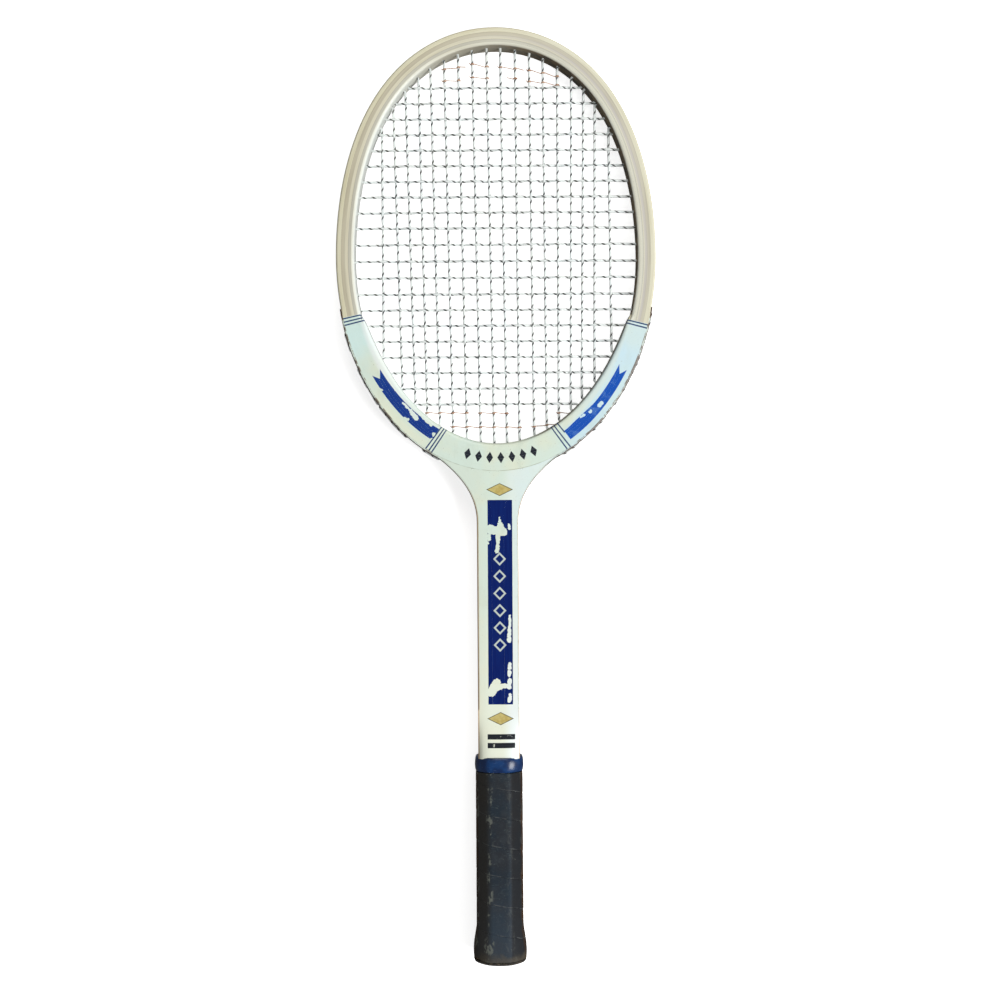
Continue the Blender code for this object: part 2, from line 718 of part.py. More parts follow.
def make_drills(name, runs, sign):
    """The holes of a string through the frame, and the grooves for its loops outside."""
    holes, grooves = bmesh.new(), bmesh.new()
    half = HOLE_SIZE / 2
    layer = sign * HOLE_LAYER
    for angle in [angle for run in runs for angle in run]:
        start = Vector((*hole_mouth(angle), sign * BED_LAYER))
        end = Vector((*hoop_point(angle, -string_seat(angle) - half), layer))
        add_bar(holes, start, end, HOLE_SIZE, HOLE_SIZE)
    for (_, first), (second, _) in zip(runs, runs[1:]):
        seat = string_seat((first + second) / 2)
        lift = (GROOVE_OPEN - half) / 2
        ends = [Vector((*hoop_point(angle, -seat - lift), layer)) for angle in (first, second)]
        add_bar(grooves, *ends, HOLE_SIZE + 2 * lift, HOLE_SIZE)
    cutters_made = []
    for kind, shape in (("holes", holes), ("grooves", grooves)):
        mesh = bpy.data.meshes.new(f"{name}_{kind}")
        shape.to_mesh(mesh)
        shape.free()
        cutters_made.append(place_cutter(f"{name}_{kind}", mesh))
    return cutters_made


def make_string(name, runs, sign, colour):
    route = string_route(runs, sign)
    print(name, "least gap to itself, mm:", round(least_gap(route, STRING_RADIUS, 6 * MM) / MM, 2))
    place(name, tube_curve(name, route, STRING_RADIUS, 1), new_material(name, colour, 0.3))
    return make_drills(name, runs, sign)


def make_threads():
    material = new_material("trebling_thread", (0.6, 0.13, 0.04), 0.7)
    for name, y, half_length in THREADS:
        ends = [(-half_length, y, THREAD_LAYER), (half_length, y, THREAD_LAYER)]
        place(name, tube_curve(name, ends, THREAD_RADIUS, 1), material)


clear_scene()
parts = new_collection("tennis_racket")
cutters = new_collection("cutters")
racket = bpy.data.objects.new("racket_frame", None)
parts.objects.link(racket)
racket.location = (0, -LENGTH / 2, BUTT_HALF_DEPTH)

wood = make_plies() + [make_crescent()] + make_strips() + make_throat()
drilled = [part for part in wood if part.name not in ("throat_wedge", "shaft_core")]
for holes, grooves in (
    make_string("mains_string", main_runs(), 1, (0.72, 0.74, 0.70)),
    make_string("cross_string", unwrapped(cross_runs()), -1, (0.70, 0.72, 0.69)),
):
    for part in drilled:
        cut(part, holes)
        if part.name.startswith(("outer_ply", "shoulder")):
            cut(part, grooves)

moulder = make_moulder()
pallets = make_pallets()
for part in pallets + [p for p in wood if p.name.startswith(("shoulder", "side", "shaft"))]:
    cut(part, moulder)
make_butt_flare()
make_butt_plate()
make_collar()
leather = make_leather()
make_tacks([leather, pallets[1]])
make_threads()
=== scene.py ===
"""A wooden tennis racket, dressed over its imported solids.

Everything is in metres: +Y runs to the head, +Z to the face in the photograph, and the butt is at y = -0.343.
"""
from math import atan2, copysign, cos, inf, pi, radians, sin, sqrt, tan, tau

import bmesh
import bpy
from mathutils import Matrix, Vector


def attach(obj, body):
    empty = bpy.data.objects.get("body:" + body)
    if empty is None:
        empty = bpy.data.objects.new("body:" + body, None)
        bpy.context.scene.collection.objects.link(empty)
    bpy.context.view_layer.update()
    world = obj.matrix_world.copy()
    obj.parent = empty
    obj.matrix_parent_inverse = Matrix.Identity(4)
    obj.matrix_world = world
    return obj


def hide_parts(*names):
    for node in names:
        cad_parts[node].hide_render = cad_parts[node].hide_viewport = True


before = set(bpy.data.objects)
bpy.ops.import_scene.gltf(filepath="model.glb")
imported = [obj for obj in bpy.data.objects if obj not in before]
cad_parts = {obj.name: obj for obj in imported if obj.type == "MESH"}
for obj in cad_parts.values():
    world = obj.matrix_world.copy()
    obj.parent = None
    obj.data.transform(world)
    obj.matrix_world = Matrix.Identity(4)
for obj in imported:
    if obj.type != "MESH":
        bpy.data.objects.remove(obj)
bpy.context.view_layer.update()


# The camera stands about a metre above the strings and looks straight down on them. The racket leans
# a little to the left in the picture, so the camera is turned that much.
bpy.ops.object.camera_add(location=(-0.0003, -0.0018, 1.017), rotation=(0, 0, radians(-0.37)))
camera = bpy.context.object
camera.name = "camera"
camera.data.lens = 48.99
camera.data.sensor_width = 36
camera.data.clip_start = 0.05
camera.data.clip_end = 20
bpy.context.scene.camera = camera


# The hoop is five plies of pale and dark wood, bent round a former and glued, with both faces planed flush.
# It is lacquered clear above the upper blue lines and white below them, over both faces and the inner wall.
BUTT_Y = -0.343
STRINGS_Z = 0.017
HALF_DEPTH = 0.009
HEAD_Y = 0.175
HEAD_HALF_WIDTH = 0.1173
HEAD_TOP = 0.168
HEAD_BOTTOM = 0.1574
HEAD_FULLNESS = 0.10
MEAN_RISE = 0.16
MEAN_RADIUS = 0.15
HOOP_STATIONS = 192
RIM_ROUND = 0.0017
INNER_ROUND = 0.0024
SHARP = 0.00005
CRESCENT_THICKNESS = 0.0069
CRESCENT_ROUND = 0.0030
CRESCENT_FEATHER = radians(17)
CRESCENT_TIP = radians(0.3)
CRESCENT_STATIONS = 120
STRIP_START = radians(14)
STRIP_FULL = radians(24)
STRIP_COVERS_RIM = radians(3)
STRIP_LEAVES_HOOP = radians(67)
LAST_SEAT_ON_STRIP = radians(72)
ARC_STEPS = 1440


def hoop_normal(angle):
    c, s = cos(angle), sin(angle)
    fullness = HEAD_FULLNESS if s > 0 else 0
    rise = HEAD_TOP if s > 0 else HEAD_BOTTOM
    along = Vector((HEAD_HALF_WIDTH * s * (2 * fullness * c * c - 1 - fullness * s * s), rise * c))
    return Vector((along.y, -along.x)).normalized()


def hoop_point(angle, depth):
    """A point depth inside the hoop's outline, at an angle from the +X side."""
    c, s = cos(angle), sin(angle)
    fullness = HEAD_FULLNESS if s > 0 else 0
    rise = HEAD_TOP if s > 0 else HEAD_BOTTOM
    outline = Vector((HEAD_HALF_WIDTH * c * (1 + fullness * s * s), HEAD_Y + rise * s))
    return outline - hoop_normal(angle) * depth


def below_middle(angle):
    """How far an angle lies below the head's middle, from the nearer side."""
    below = max(0, -atan2(sin(angle), cos(angle)))
    return min(below, pi - below)


def crescent_thickness(angle):
    below = below_middle(angle)
    if below <= CRESCENT_FEATHER:
        return 0
    unfeathered = (pi / 2 - below) / (pi / 2 - CRESCENT_FEATHER)
    return CRESCENT_THICKNESS * sqrt(1 - unfeathered ** 2.5)


arc_lengths = [0]
for index in range(ARC_STEPS):
    here, there = (hoop_point(-pi / 2 + tau * i / ARC_STEPS, 0) for i in (index, index + 1))
    arc_lengths.append(arc_lengths[-1] + (there - here).length)


def hoop_place(point):
    """Where a point lies on the hoop: its angle, its depth inside the outline and its arc from the throat."""
    x, y = point[0], point[1]
    angle = atan2((y - HEAD_Y) / MEAN_RISE, x / HEAD_HALF_WIDTH)
    for _ in range(5):
        normal = hoop_normal(angle)
        gap = Vector((x, y)) - hoop_point(angle, 0)
        angle += (gap.y * normal.x - gap.x * normal.y) / MEAN_RADIUS
    gap = hoop_point(angle, 0) - Vector((x, y))
    place = ((angle + pi / 2) / tau % 1) * ARC_STEPS
    whole = min(int(place), ARC_STEPS - 1)
    arc = arc_lengths[whole] + (arc_lengths[whole + 1] - arc_lengths[whole]) * (place - whole)
    return angle, gap.dot(hoop_normal(angle)), arc if arc < arc_lengths[-1] / 2 else arc - arc_lengths[-1]


def take(piece):
    """Picks up one piece for the next tools to work on."""
    bpy.ops.object.select_all(action="DESELECT")
    bpy.context.view_layer.objects.active = piece
    piece.select_set(True)


def shape_with(piece, cutter, operation="DIFFERENCE"):
    """Cuts a piece with another shape, as a drill, gouge or moulder would."""
    take(piece)
    tool = piece.modifiers.new("cut", "BOOLEAN")
    tool.operation = operation
    tool.solver = "MANIFOLD"
    tool.object = cutter
    bpy.ops.object.modifier_apply(modifier=tool.name)


# Eighteen mains and twenty-one crosses pass through holes drilled square to the hoop, and between each
# pair of holes the string lies in a groove gouged in the hoop's outside, or proud of a shoulder strip.
STRING_RADIUS = 0.00094
MAINS_AT_TOP = (-0.0835, -0.0750, -0.0660, -0.0563, -0.0474, -0.0373, -0.0270, -0.0167, -0.0060,
                0.0041, 0.0149, 0.0253, 0.0354, 0.0460, 0.0564, 0.0653, 0.0736, 0.0836)
MAINS_AT_THROAT = (-0.0832, -0.0695, -0.0600, -0.0513, -0.0419, -0.0323, -0.0221, -0.0119, -0.0020,
                   0.0074, 0.0166, 0.0275, 0.0368, 0.0458, 0.0546, 0.0628, 0.0722, 0.0850)
CROSS_TOP = 0.3006
CROSS_GAPS = ((9, 0.0115), (4, 0.0122), (7, 0.0116))
PLY_STACK = 0.0135
HOLE_MOUTH = 0.0012
BED_LAYER = 0.00085
HOLE_LAYER = 0.0016
GROOVE_SEAT = 0.0009
PROUD_SEAT = 0.0018
HOLE_RADIUS = 0.00105
MOUTH_RADIUS = 0.00155
MOUTH_BREAK = 0.0008
GROOVE_RADIUS = 0.00115
DRILL_START = 0.003
DRILL_RUN_OUT = 0.004


def opening_depth(angle):
    return PLY_STACK + crescent_thickness(angle)


def hole_mouth(angle):
    return hoop_point(angle, opening_depth(angle) + HOLE_MOUTH)


def halved(past, low, high):
    """The place between low and high where past turns true, found by halving."""
    for _ in range(40):
        middle = (low + high) / 2
        low, high = (low, middle) if past(middle) else (middle, high)
    return (low + high) / 2


def angle_where(target, axis, low, high):
    """The hoop angle whose string hole opens at a given x (axis 0) or y (axis 1)."""
    rising = hole_mouth(high)[axis] > hole_mouth(low)[axis]
    return halved(lambda angle: (hole_mouth(angle)[axis] > target) == rising, low, high)


def string_seat(angle):
    on_strip = STRIP_START < below_middle(angle) < LAST_SEAT_ON_STRIP
    return PROUD_SEAT if on_strip else -GROOVE_SEAT


CROSSES = [CROSS_TOP]
for count, gap in CROSS_GAPS:
    CROSSES += [CROSSES[-1] - gap * (i + 1) for i in range(count)]
main_runs, cross_runs = [], []
for i, (x_top, x_throat) in enumerate(zip(MAINS_AT_TOP, MAINS_AT_THROAT)):
    ends = (angle_where(x_top, 0, 0.05, pi - 0.05), angle_where(x_throat, 0, -pi + 0.05, -0.05))
    main_runs.append(ends if i % 2 == 0 else ends[::-1])
for i, y in enumerate(CROSSES):
    right = angle_where(y, 1, -pi / 2 + 0.05, pi / 2 - 0.05)
    ends = (pi - right, right)
    cross_runs.append(ends if i % 2 == 0 else ends[::-1])


def rods(name, ends, radius, sides):
    """Straight round bars from point to point: one is turned, and the rest are copies in the same mesh."""
    bpy.ops.mesh.primitive_cylinder_add(vertices=sides, radius=radius, depth=1)
    piece = bpy.context.object
    piece.name = name
    pattern = piece.data.copy()
    shape = bmesh.new()
    for start, end in ends:
        first = len(shape.verts)
        shape.from_mesh(pattern)
        shape.verts.ensure_lookup_table()
        turn = (end - start).to_track_quat("Z", "Y").to_matrix()
        for vertex in shape.verts[first:]:
            place = Vector((vertex.co.x, vertex.co.y, vertex.co.z * (end - start).length))
            vertex.co = turn @ place + (start + end) / 2
    shape.to_mesh(piece.data)
    shape.free()
    return piece


def bed_point(angle, depth, height):
    """A point at a depth inside the hoop's outline and a height over the middle of the strings."""
    return Vector((*hoop_point(angle, depth), STRINGS_Z + height))


def drill_ends(runs, sign):
    """Each hole slopes from the bed's layer at its mouth to its own layer outside, and the drill runs past both."""
    ends = []
    for angle in (angle for run in runs for angle in run):
        slope = (HOLE_LAYER - BED_LAYER) / (opening_depth(angle) + HOLE_MOUTH)
        start = sign * (BED_LAYER - slope * (DRILL_START - HOLE_MOUTH))
        ends.append((bed_point(angle, opening_depth(angle) + DRILL_START, start),
                     bed_point(angle, -DRILL_RUN_OUT, sign * (HOLE_LAYER + slope * DRILL_RUN_OUT))))
    return ends


def groove_ends(runs, sign):
    ends = []
    for before, after in zip(runs, runs[1:]):
        seat = -string_seat((before[1] + after[0]) / 2) - 0.0004
        if seat > 0:
            ends.append(tuple(bed_point(angle, seat, sign * HOLE_LAYER) for angle in (before[1], after[0])))
    return ends


def mouth_ends(runs, sign):
    """A wider drill breaks each hole's edge where it opens on the inner wall."""
    return [tuple(bed_point(angle, opening_depth(angle) + past, sign * BED_LAYER)
                  for past in (-MOUTH_BREAK, DRILL_RUN_OUT)) for run in runs for angle in run]


STRINGS = (("main", main_runs, 1), ("cross", cross_runs, -1))
drills = [rods(name + "_drill", drill_ends(runs, sign), HOLE_RADIUS, 12) for name, runs, sign in STRINGS]
drills += [rods(name + "_gouge", groove_ends(runs, sign), GROOVE_RADIUS, 12) for name, runs, sign in STRINGS]
mouths = [rods(name + "_mouth", mouth_ends(runs, sign), MOUTH_RADIUS, 14) for name, runs, sign in STRINGS]


def section(outside, inside, round_outside, round_inside):
    """A bar's section between two points of the plan, with its four corners rounded."""
    width = (inside - outside).length
    across = (inside - outside).normalized()
    loop = []
    for quarter in range(4):
        at, radius = (0, round_outside) if quarter in (1, 2) else (width, round_inside)
        centre_z = HALF_DEPTH - radius if quarter < 2 else radius - HALF_DEPTH
        centre = at - radius if at else radius
        for i in range(5):
            turned = pi / 2 * (quarter + i / 4)
            place = outside + across * (centre + radius * cos(turned))
            loop.append(Vector((*place, STRINGS_Z + centre_z + radius * sin(turned))))
    return loop


def close_up(weld, ring=False):
    """Welds the seam of the piece in hand if it has one, closes its ends and turns its faces outward."""
    bpy.ops.object.mode_set(mode="EDIT")
    if weld:
        bpy.ops.mesh.select_all(action="SELECT")
        bpy.ops.mesh.remove_doubles(threshold=1e-6)
    if not ring:
        bpy.ops.mesh.select_all(action="DESELECT")
        bpy.ops.mesh.select_non_manifold()
        bpy.ops.mesh.fill_holes(sides=0)
    bpy.ops.mesh.select_all(action="SELECT")
    bpy.ops.mesh.normals_make_consistent(inside=False)
    bpy.ops.object.mode_set(mode="OBJECT")


def swept(name, sections, ring=False, marks=None):
    """Lays a flat grid over a bar's sections, a row to a section, then welds its seam and closes its ends.
    Marks are three numbers a point, kept for the finish."""
    rows = sections + sections[:1] if ring else sections
    count = len(rows[0])
    bpy.ops.mesh.primitive_grid_add(x_subdivisions=count, y_subdivisions=len(rows) - 1, size=1)
    piece = bpy.context.object
    piece.name = name
    laid = piece.data.attributes.new("laid", "FLOAT_VECTOR", "POINT") if marks else None
    for vertex in piece.data.vertices:
        row, column = divmod(vertex.index, count + 1)
        vertex.co = rows[row][column % count]
        if marks:
            laid.data[vertex.index].vector = marks[row % len(marks)][column % count]
    close_up(True, ring)
    return piece


def mark_hoop(piece):
    """Writes each corner's arc from the throat, depth and height, for the grain and the painted marks."""
    places = [hoop_place(vertex.co) for vertex in piece.data.vertices]
    marks = piece.data.attributes.new("hoop", "FLOAT_VECTOR", "CORNER")
    half = arc_lengths[-1] / 2
    for face in piece.data.polygons:
        for loop in face.loop_indices:
            vertex = piece.data.vertices[piece.data.loops[loop].vertex_index]
            _, depth, arc = places[vertex.index]
            if half - abs(arc) < 0.004:
                arc = copysign(arc, face.center.x)
            marks.data[loop].vector = (arc, depth, vertex.co.z - STRINGS_Z)


def finished(piece, material, node, angle=35):
    """Gives a piece its finish and sets it on the racket in place of its solid."""
    piece.data.materials.clear()
    piece.data.materials.append(material)
    take(piece)
    bpy.ops.object.shade_smooth_by_angle(angle=radians(angle))
    flat = piece.modifiers.new("flat faces", "WEIGHTED_NORMAL")
    flat.keep_sharp = True
    bpy.ops.object.modifier_apply(modifier=flat.name)
    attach(piece, "root")
    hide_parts(node)


def paint(red, green, blue):
    """A colour as it is given from 0 to 255, made linear."""
    return tuple(((c / 255 + 0.055) / 1.055) ** 2.4 if c > 10 else c / 3295 for c in (red, green, blue)) + (1,)


class Reading:
    """A value in a finish. Arithmetic on it adds Math nodes."""

    def __init__(self, finish, socket):
        self.finish = finish
        self.socket = socket

    def work(self, operation, *values):
        return self.finish.add("ShaderNodeMath", {"operation": operation}, dict(enumerate((self, *values))))

    def __rsub__(self, other):
        return self.finish.add("ShaderNodeMath", {"operation": "SUBTRACT"}, {0: other, 1: self})


for method, operation in (("add", "ADD"), ("radd", "ADD"), ("sub", "SUBTRACT"), ("mul", "MULTIPLY"),
                          ("rmul", "MULTIPLY"), ("truediv", "DIVIDE"), ("abs", "ABSOLUTE"),
                          ("or", "MAXIMUM"), ("and", "MINIMUM")):
    setattr(Reading, f"__{method}__", lambda self, *other, operation=operation: self.work(operation, *other))


class Finish:
    """A material with one glossy shader, built up a node at a time."""

    def __init__(self, name, **constants):
        self.material = bpy.data.materials.new(name)
        self.material.use_nodes = True
        self.tree = self.material.node_tree
        self.shader = next(node for node in self.tree.nodes if node.type == "BSDF_PRINCIPLED")
        self.set(**constants)

    def set(self, **sockets):
        for name, value in sockets.items():
            self.join(value, self.shader.inputs[name.replace("_", " ")])

    def join(self, value, socket):
        if isinstance(value, Reading):
            self.tree.links.new(value.socket, socket)
        else:
            socket.default_value = value

    def add(self, kind, settings, sockets, output=0):
        node = self.tree.nodes.new(kind)
        for name, value in settings.items():
            setattr(node, name, value)
        for name, value in sockets.items():
            self.join(value, node.inputs[name])
        return Reading(self, node.outputs[output])

    def place(self):
        return self.add("ShaderNodeTexCoord", {}, {}, "Object")

    def mark(self, name):
        """The three numbers that a shape's points or corners keep under a name."""
        return parts(self.add("ShaderNodeAttribute", {"attribute_name": name}, {}, "Vector"))

    def facing(self, low, high):
        """1 on the front and the back, 0 on the sides."""
        return step(abs(parts(self.add("ShaderNodeNewGeometry", {}, {}, "Normal"))[2]), low, high)

    def done(self, colour, roughness, height, strength, distance):
        """Sets what varies over a piece, with its relief, and hands over the material."""
        relief = self.add("ShaderNodeBump", {}, {"Height": height, "Strength": strength, "Distance": distance})
        self.set(Base_Color=colour, Roughness=roughness, Normal=relief)
        return self.material


def parts(vector):
    node = vector.finish.add("ShaderNodeSeparateXYZ", {}, {0: vector}).socket.node
    return [Reading(vector.finish, output) for output in node.outputs]


def together(x, y, z):
    return x.finish.add("ShaderNodeCombineXYZ", {}, {0: x, 1: y, 2: z})


def stretch(vector, by, moved=(0, 0, 0)):
    return vector.finish.add("ShaderNodeVectorMath", {"operation": "MULTIPLY_ADD"}, {0: vector, 1: by, 2: moved})


def step(value, low, high):
    """0 below low, 1 above high and smooth between them."""
    return value.finish.add("ShaderNodeMapRange", {"interpolation_type": "SMOOTHSTEP"},
                            {"Value": value, "From Min": low, "From Max": high})


def under(value, low, high):
    """1 below low, 0 above high and smooth between them."""
    return 1 - step(value, low, high)


def within(value, half, soft=0.0001):
    """1 nearer to nought than half, 0 further off, with a thin soft edge."""
    return under(abs(value), half - soft, half + soft)


def between(value, low, high, soft=0.00012):
    return step(value, low - soft, low + soft) * under(value, high - soft, high + soft)


def noise(vector, scale=1, detail=2, roughness=0.5):
    return vector.finish.add("ShaderNodeTexNoise", {},
                             {"Vector": vector, "Scale": scale, "Detail": detail, "Roughness": roughness})


def mottle(vector, scale, low, high, detail=2, roughness=0.5):
    """Patches with soft edges: how much noise rises from low to high."""
    return step(noise(vector, scale, detail, roughness), low, high)


def mix(amount, one, other):
    return amount.finish.add("ShaderNodeMix", {"data_type": "RGBA"}, {0: amount, 6: one, 7: other}, 2)


def coated(colour, *coats):
    """A colour with coats laid over it in turn. Each is how much there is of it, then its red, green and blue."""
    for amount, *tone in coats:
        colour = mix(amount, colour, paint(*tone))
    return colour


def grain(place, light, dark, fine=900):
    """Wood along the first axis of place: soft broken streaks, fine pores and a slow change of tone."""
    streaks = noise(stretch(place, (20, fine, fine * 0.6)), detail=3, roughness=0.6)
    slow = mottle(stretch(place, (14, 90, 90), (3, 1, 5)), 1, 0.32, 0.68)
    pores = mottle(stretch(place, (150, fine * 3, fine * 3), (7, 2, 1)), 1, 0.62, 0.78, 1)
    shade = step(streaks, 0.36, 0.7) * (0.25 + slow * 0.5) + slow * 0.25 + pores * 0.25
    return mix(shade & 1, light, dark), streaks


def white_lacquer(place, side):
    """Aged white lacquer: greenish in the middle, creamy and dirty in patches, with a painted bluish cast of the key
    light on its right.
    """
    patches = noise(place, 28, 3, 0.6)
    # Towards the right the white is painted bluer: the key light's bluish cast, painted.
    painted_cool_light = step(side, 0.002, 0.03) * mottle(place, 17, 0.3, 0.6)
    brushed = mottle(stretch(place, (110, 45, 110), (2, 5, 1)), 1, 0.5, 0.72, 4, 0.68)
    dirt = mottle(place, 650, 0.665, 0.72, 2, 0.7) * step(patches, 0.4, 0.6)
    white = mix(step(patches, 0.42, 0.68) * 0.8, paint(220, 236, 224), paint(229, 235, 213))
    return coated(white, (painted_cool_light, 208, 234, 242), (brushed * 0.4, 203, 216, 200), (dirt * 0.55, 128, 116, 88))


def chip(x, y, stroke):
    """A chip in the paint: a stroke whose half width changes from one end to the other, in millimetres."""
    ax, ay, wide, bx, by, narrow = (number / 1000 for number in stroke)
    dx, dy = bx - ax, by - ay
    span = dx * dx + dy * dy
    along = ((x - ax) * (dx / span) + (y - ay) * (dy / span) | 0) & 1
    off_x, off_y = x - ax - along * dx, y - ay - along * dy
    return wide + along * (narrow - wide) - (off_x * off_x + off_y * off_y).work("SQRT")


def chips(x, y, place, strokes):
    """All of a painted mark's chips as a mask, with broken angular edges."""
    flakes = place.finish.add("ShaderNodeTexVoronoi", {"distance": "MANHATTAN"}, {"Vector": place, "Scale": 620})
    ragged = flakes * 0.0007 - 0.00035 + (noise(place, 1300) - 0.5) * 0.0005
    deepest = chip(x, y, strokes[0])
    for stroke in strokes[1:]:
        deepest = deepest | chip(x, y, stroke)
    return step(deepest + ragged, -0.00004, 0.00006)


# The marks round the hoop. Places are arcs from the throat, and those on the left are negative.
UPPER_LINES = (-0.1711, -0.1686, -0.1662, 0.1651, 0.1627)
LOWER_LINES = (-0.0558, -0.0531, -0.0507, 0.0544, 0.0573)
LINE_BY_RIBBON = 0.0609
LINE_HALF = 0.00052
DIAMOND_STEP = 0.0092
DIAMOND_MIDDLE = (0.0030, 0.0098)
DIAMOND_HALF = (0.0029, 0.0043)


# The ribbons' chips: arc, depth and half width at one end, then at the other, in millimetres.
RIBBON_CHIPS = [(-92.6, 13.6, 0.6, -83.9, 14.6, 0.7), (-82.7, 14.1, 1.2, -76.1, 13.3, 1.6),
                (-82.4, 6.8, 1.2, -80.2, 8.4, 1.0), (-112.1, 6.0, 0.7, -110.8, 7.0, 0.5),
                (-105.3, 15.3, 0.6, -94.6, 16.5, 0.6), (-75.1, 17.0, 0.6, -62.5, 16.6, 0.8),
                (-56.8, 12.4, 1.2, -56.0, 11.0, 0.7), (-56.4, 7.5, 0.7, -55.8, 8.7, 0.6),
                (94.7, 7.0, 1.4, 97.1, 7.0, 1.2), (86.1, 9.4, 1.0, 87.2, 9.3, 0.7),
                (78.3, 11.7, 0.7, 81.1, 11.1, 0.9), (97.4, 12.1, 0.4, 100.8, 11.7, 0.4)]


def hoop_finish(name, light, dark, first):
    """The lacquered wood of the hoop, with its lines, ribbons and row of diamonds. A ply begins at the depth
    called first, with a glue line there."""
    finish = Finish(name, Coat_Weight=0.35, Coat_Roughness=0.14, Coat_IOR=1.5, Specular_IOR_Level=0.2)
    arc, depth, height = finish.mark("hoop")
    place = finish.place()
    x, _, z = parts(place)
    away = abs(arc)
    right = step(arc, -0.0001, 0.0001)
    facing = finish.facing(0.35, 0.8)
    painted = under(away + right * 0.0060, 0.1717, 0.1721)

    wood, streaks = grain(together(away, depth, height + x * 0.03), light, dark)
    glue = under(depth - first, 0.0001, 0.0005) * step(depth, 0.001, 0.002)
    hazy = step(x, -0.05, 0.09)
    # The last coat below paints the deepest wood darker brown on the right: painted shade.
    wood = coated(wood, (glue * 0.35, 150, 140, 116), (hazy * 0.2, 224, 228, 224),
                  (between(depth, 0.0062, 0.0082, 0.0006) * hazy * 0.5, 186, 180, 184),
                  (between(depth, 0.0098, 0.0116, 0.0006) * hazy * 0.5, 238, 236, 216),
                  (step(depth, 0.0150, 0.0168) * step(x, 0.0, 0.08) * 0.8, 124, 104, 70))
    # The inner wall is painted brown, and towards the right much darker with dark blotches: painted shade where it
    # faces away from the key light.
    inner_wall = (1 - facing) * step(depth, 0.006, 0.008)
    painted_shade_right = step(x, -0.075, 0.045)
    wall = mix(mottle(place, 130, 0.4, 0.65, 3, 0.6) * painted_shade_right, paint(102, 80, 48), paint(46, 35, 22))
    wood = mix(inner_wall * (0.15 + painted_shade_right * 0.75), wood, wall)

    cream = step(depth, 0.0120, 0.0150) * right * step(away, 0.05, 0.07)
    white = coated(white_lacquer(place, x - 0.036), (cream * 0.6, 236, 237, 210))
    # The rounded inner edge of the white lacquer on the right is painted dark brown: painted shade where it turns
    # away from the key light.
    turned = under(abs(z - STRINGS_Z), HALF_DEPTH - 0.0009, HALF_DEPTH - 0.0003)
    turned = turned * step(depth, 0.012, 0.014) * step(x, 0.012, 0.04) * painted
    # A pale cyan patch on the upper left of the white lacquer is a painted reflection.
    painted_reflection = under(abs(arc + 0.154), 0.003, 0.026) * facing * painted
    warm = under(abs(arc + 0.085), 0.010, 0.045) * under(depth, 0.003, 0.009) * painted
    # The inner edge on the left is painted near white: a painted highlight.
    pale = under(x, -0.09, -0.03) * step(depth, 0.0104, 0.0140)
    # On the right the white lacquer is also painted bluer: a painted bluish cast of the key light.
    colour = coated(mix(painted, wood, white), (turned * 0.85, 92, 80, 58), (painted_reflection * 0.5, 216, 249, 251),
                    (step(x, 0.04, 0.09) * facing * painted * 0.4, 204, 234, 252),
                    (warm * 0.6, 240, 242, 214), (pale * 0.75, 246, 252, 250))

    slanted = arc + depth * (right * 0.12 - 0.06)
    line = within(slanted - LINE_BY_RIBBON, LINE_HALF, 0.00012) * step(depth, 0.0105, 0.0112)
    for across, centres in ((arc, UPPER_LINES), (slanted, LOWER_LINES)):
        for centre in centres:
            line = line | within(across - centre, LINE_HALF, 0.00012)
    colour = coated(colour, (line, 46, 70, 114))

    lower = away - right * 0.0052 + 0.0006
    gone = lower - 0.0557
    bulge = under(abs(arc - 0.078), 0.003, 0.018) * 0.00045 + (1 - right) * (0.00095 - gone * 0.010)
    middle = 0.01185 - gone * 0.036 - right * (0.00365 - gone * 0.017) + bulge
    off = abs(depth - middle) / (0.00395 - gone * 0.0065 + bulge)
    tip = 0.1194 - right * 0.0006 + off * 0.0061 + (depth - middle) * 0.25
    ribbon = between(lower, 0.0560, 0.3) * under(lower - tip, -0.0001, 0.0001) * under(off, 0.96, 1.0)
    ribbon = ribbon * facing * (1 - chips(arc, depth, place, RIBBON_CHIPS))
    rubbed = right * mottle(place, 120, 0.54, 0.66, 3, 0.6)
    blue = coated(mix(right, paint(18, 58, 142), paint(14, 82, 184)),
                  (mottle(place, 260, 0.45, 0.75, 3, 0.7) * 0.25, 52, 96, 176), (rubbed * 0.4, 92, 138, 204))
    colour = mix(ribbon, colour, blue)

    row = (arc - DIAMOND_MIDDLE[0]) / DIAMOND_STEP
    reach = abs(row - row.work("ROUND")) * DIAMOND_STEP / DIAMOND_HALF[0]
    reach = reach + abs(depth - DIAMOND_MIDDLE[1]) / DIAMOND_HALF[1]
    diamonds = under(reach, 0.94, 1.02) * under(abs(row), 3.4, 3.45) * facing
    edge = under(depth, 0.0001, 0.0006) * step(away, 0.046, 0.05) * painted
    worn = edge * step(noise(place, 180, 3, 0.7) + step(away, 0.10, 0.16) * 0.1, 0.5, 0.6)
    colour = coated(colour, (diamonds, 34, 38, 50), (worn * 0.85, 132, 104, 70))
    if first == 0:
        seam = under(depth, 0.0002, 0.0006) * under(away, 0.046, 0.052) * facing * mottle(place, 120, 0.3, 0.55)
        colour = coated(colour, (seam * 0.55, 138, 140, 108))
    shade = inner_wall * painted_shade_right
    finish.set(Coat_Weight=0.35 - shade * 0.33)
    return finish.done(colour, 0.38 + noise(place, 90, 3) * 0.14 + shade * 0.4,
                       streaks * (1 - painted) + noise(place, 45) * 0.8, 0.10, 0.0006)


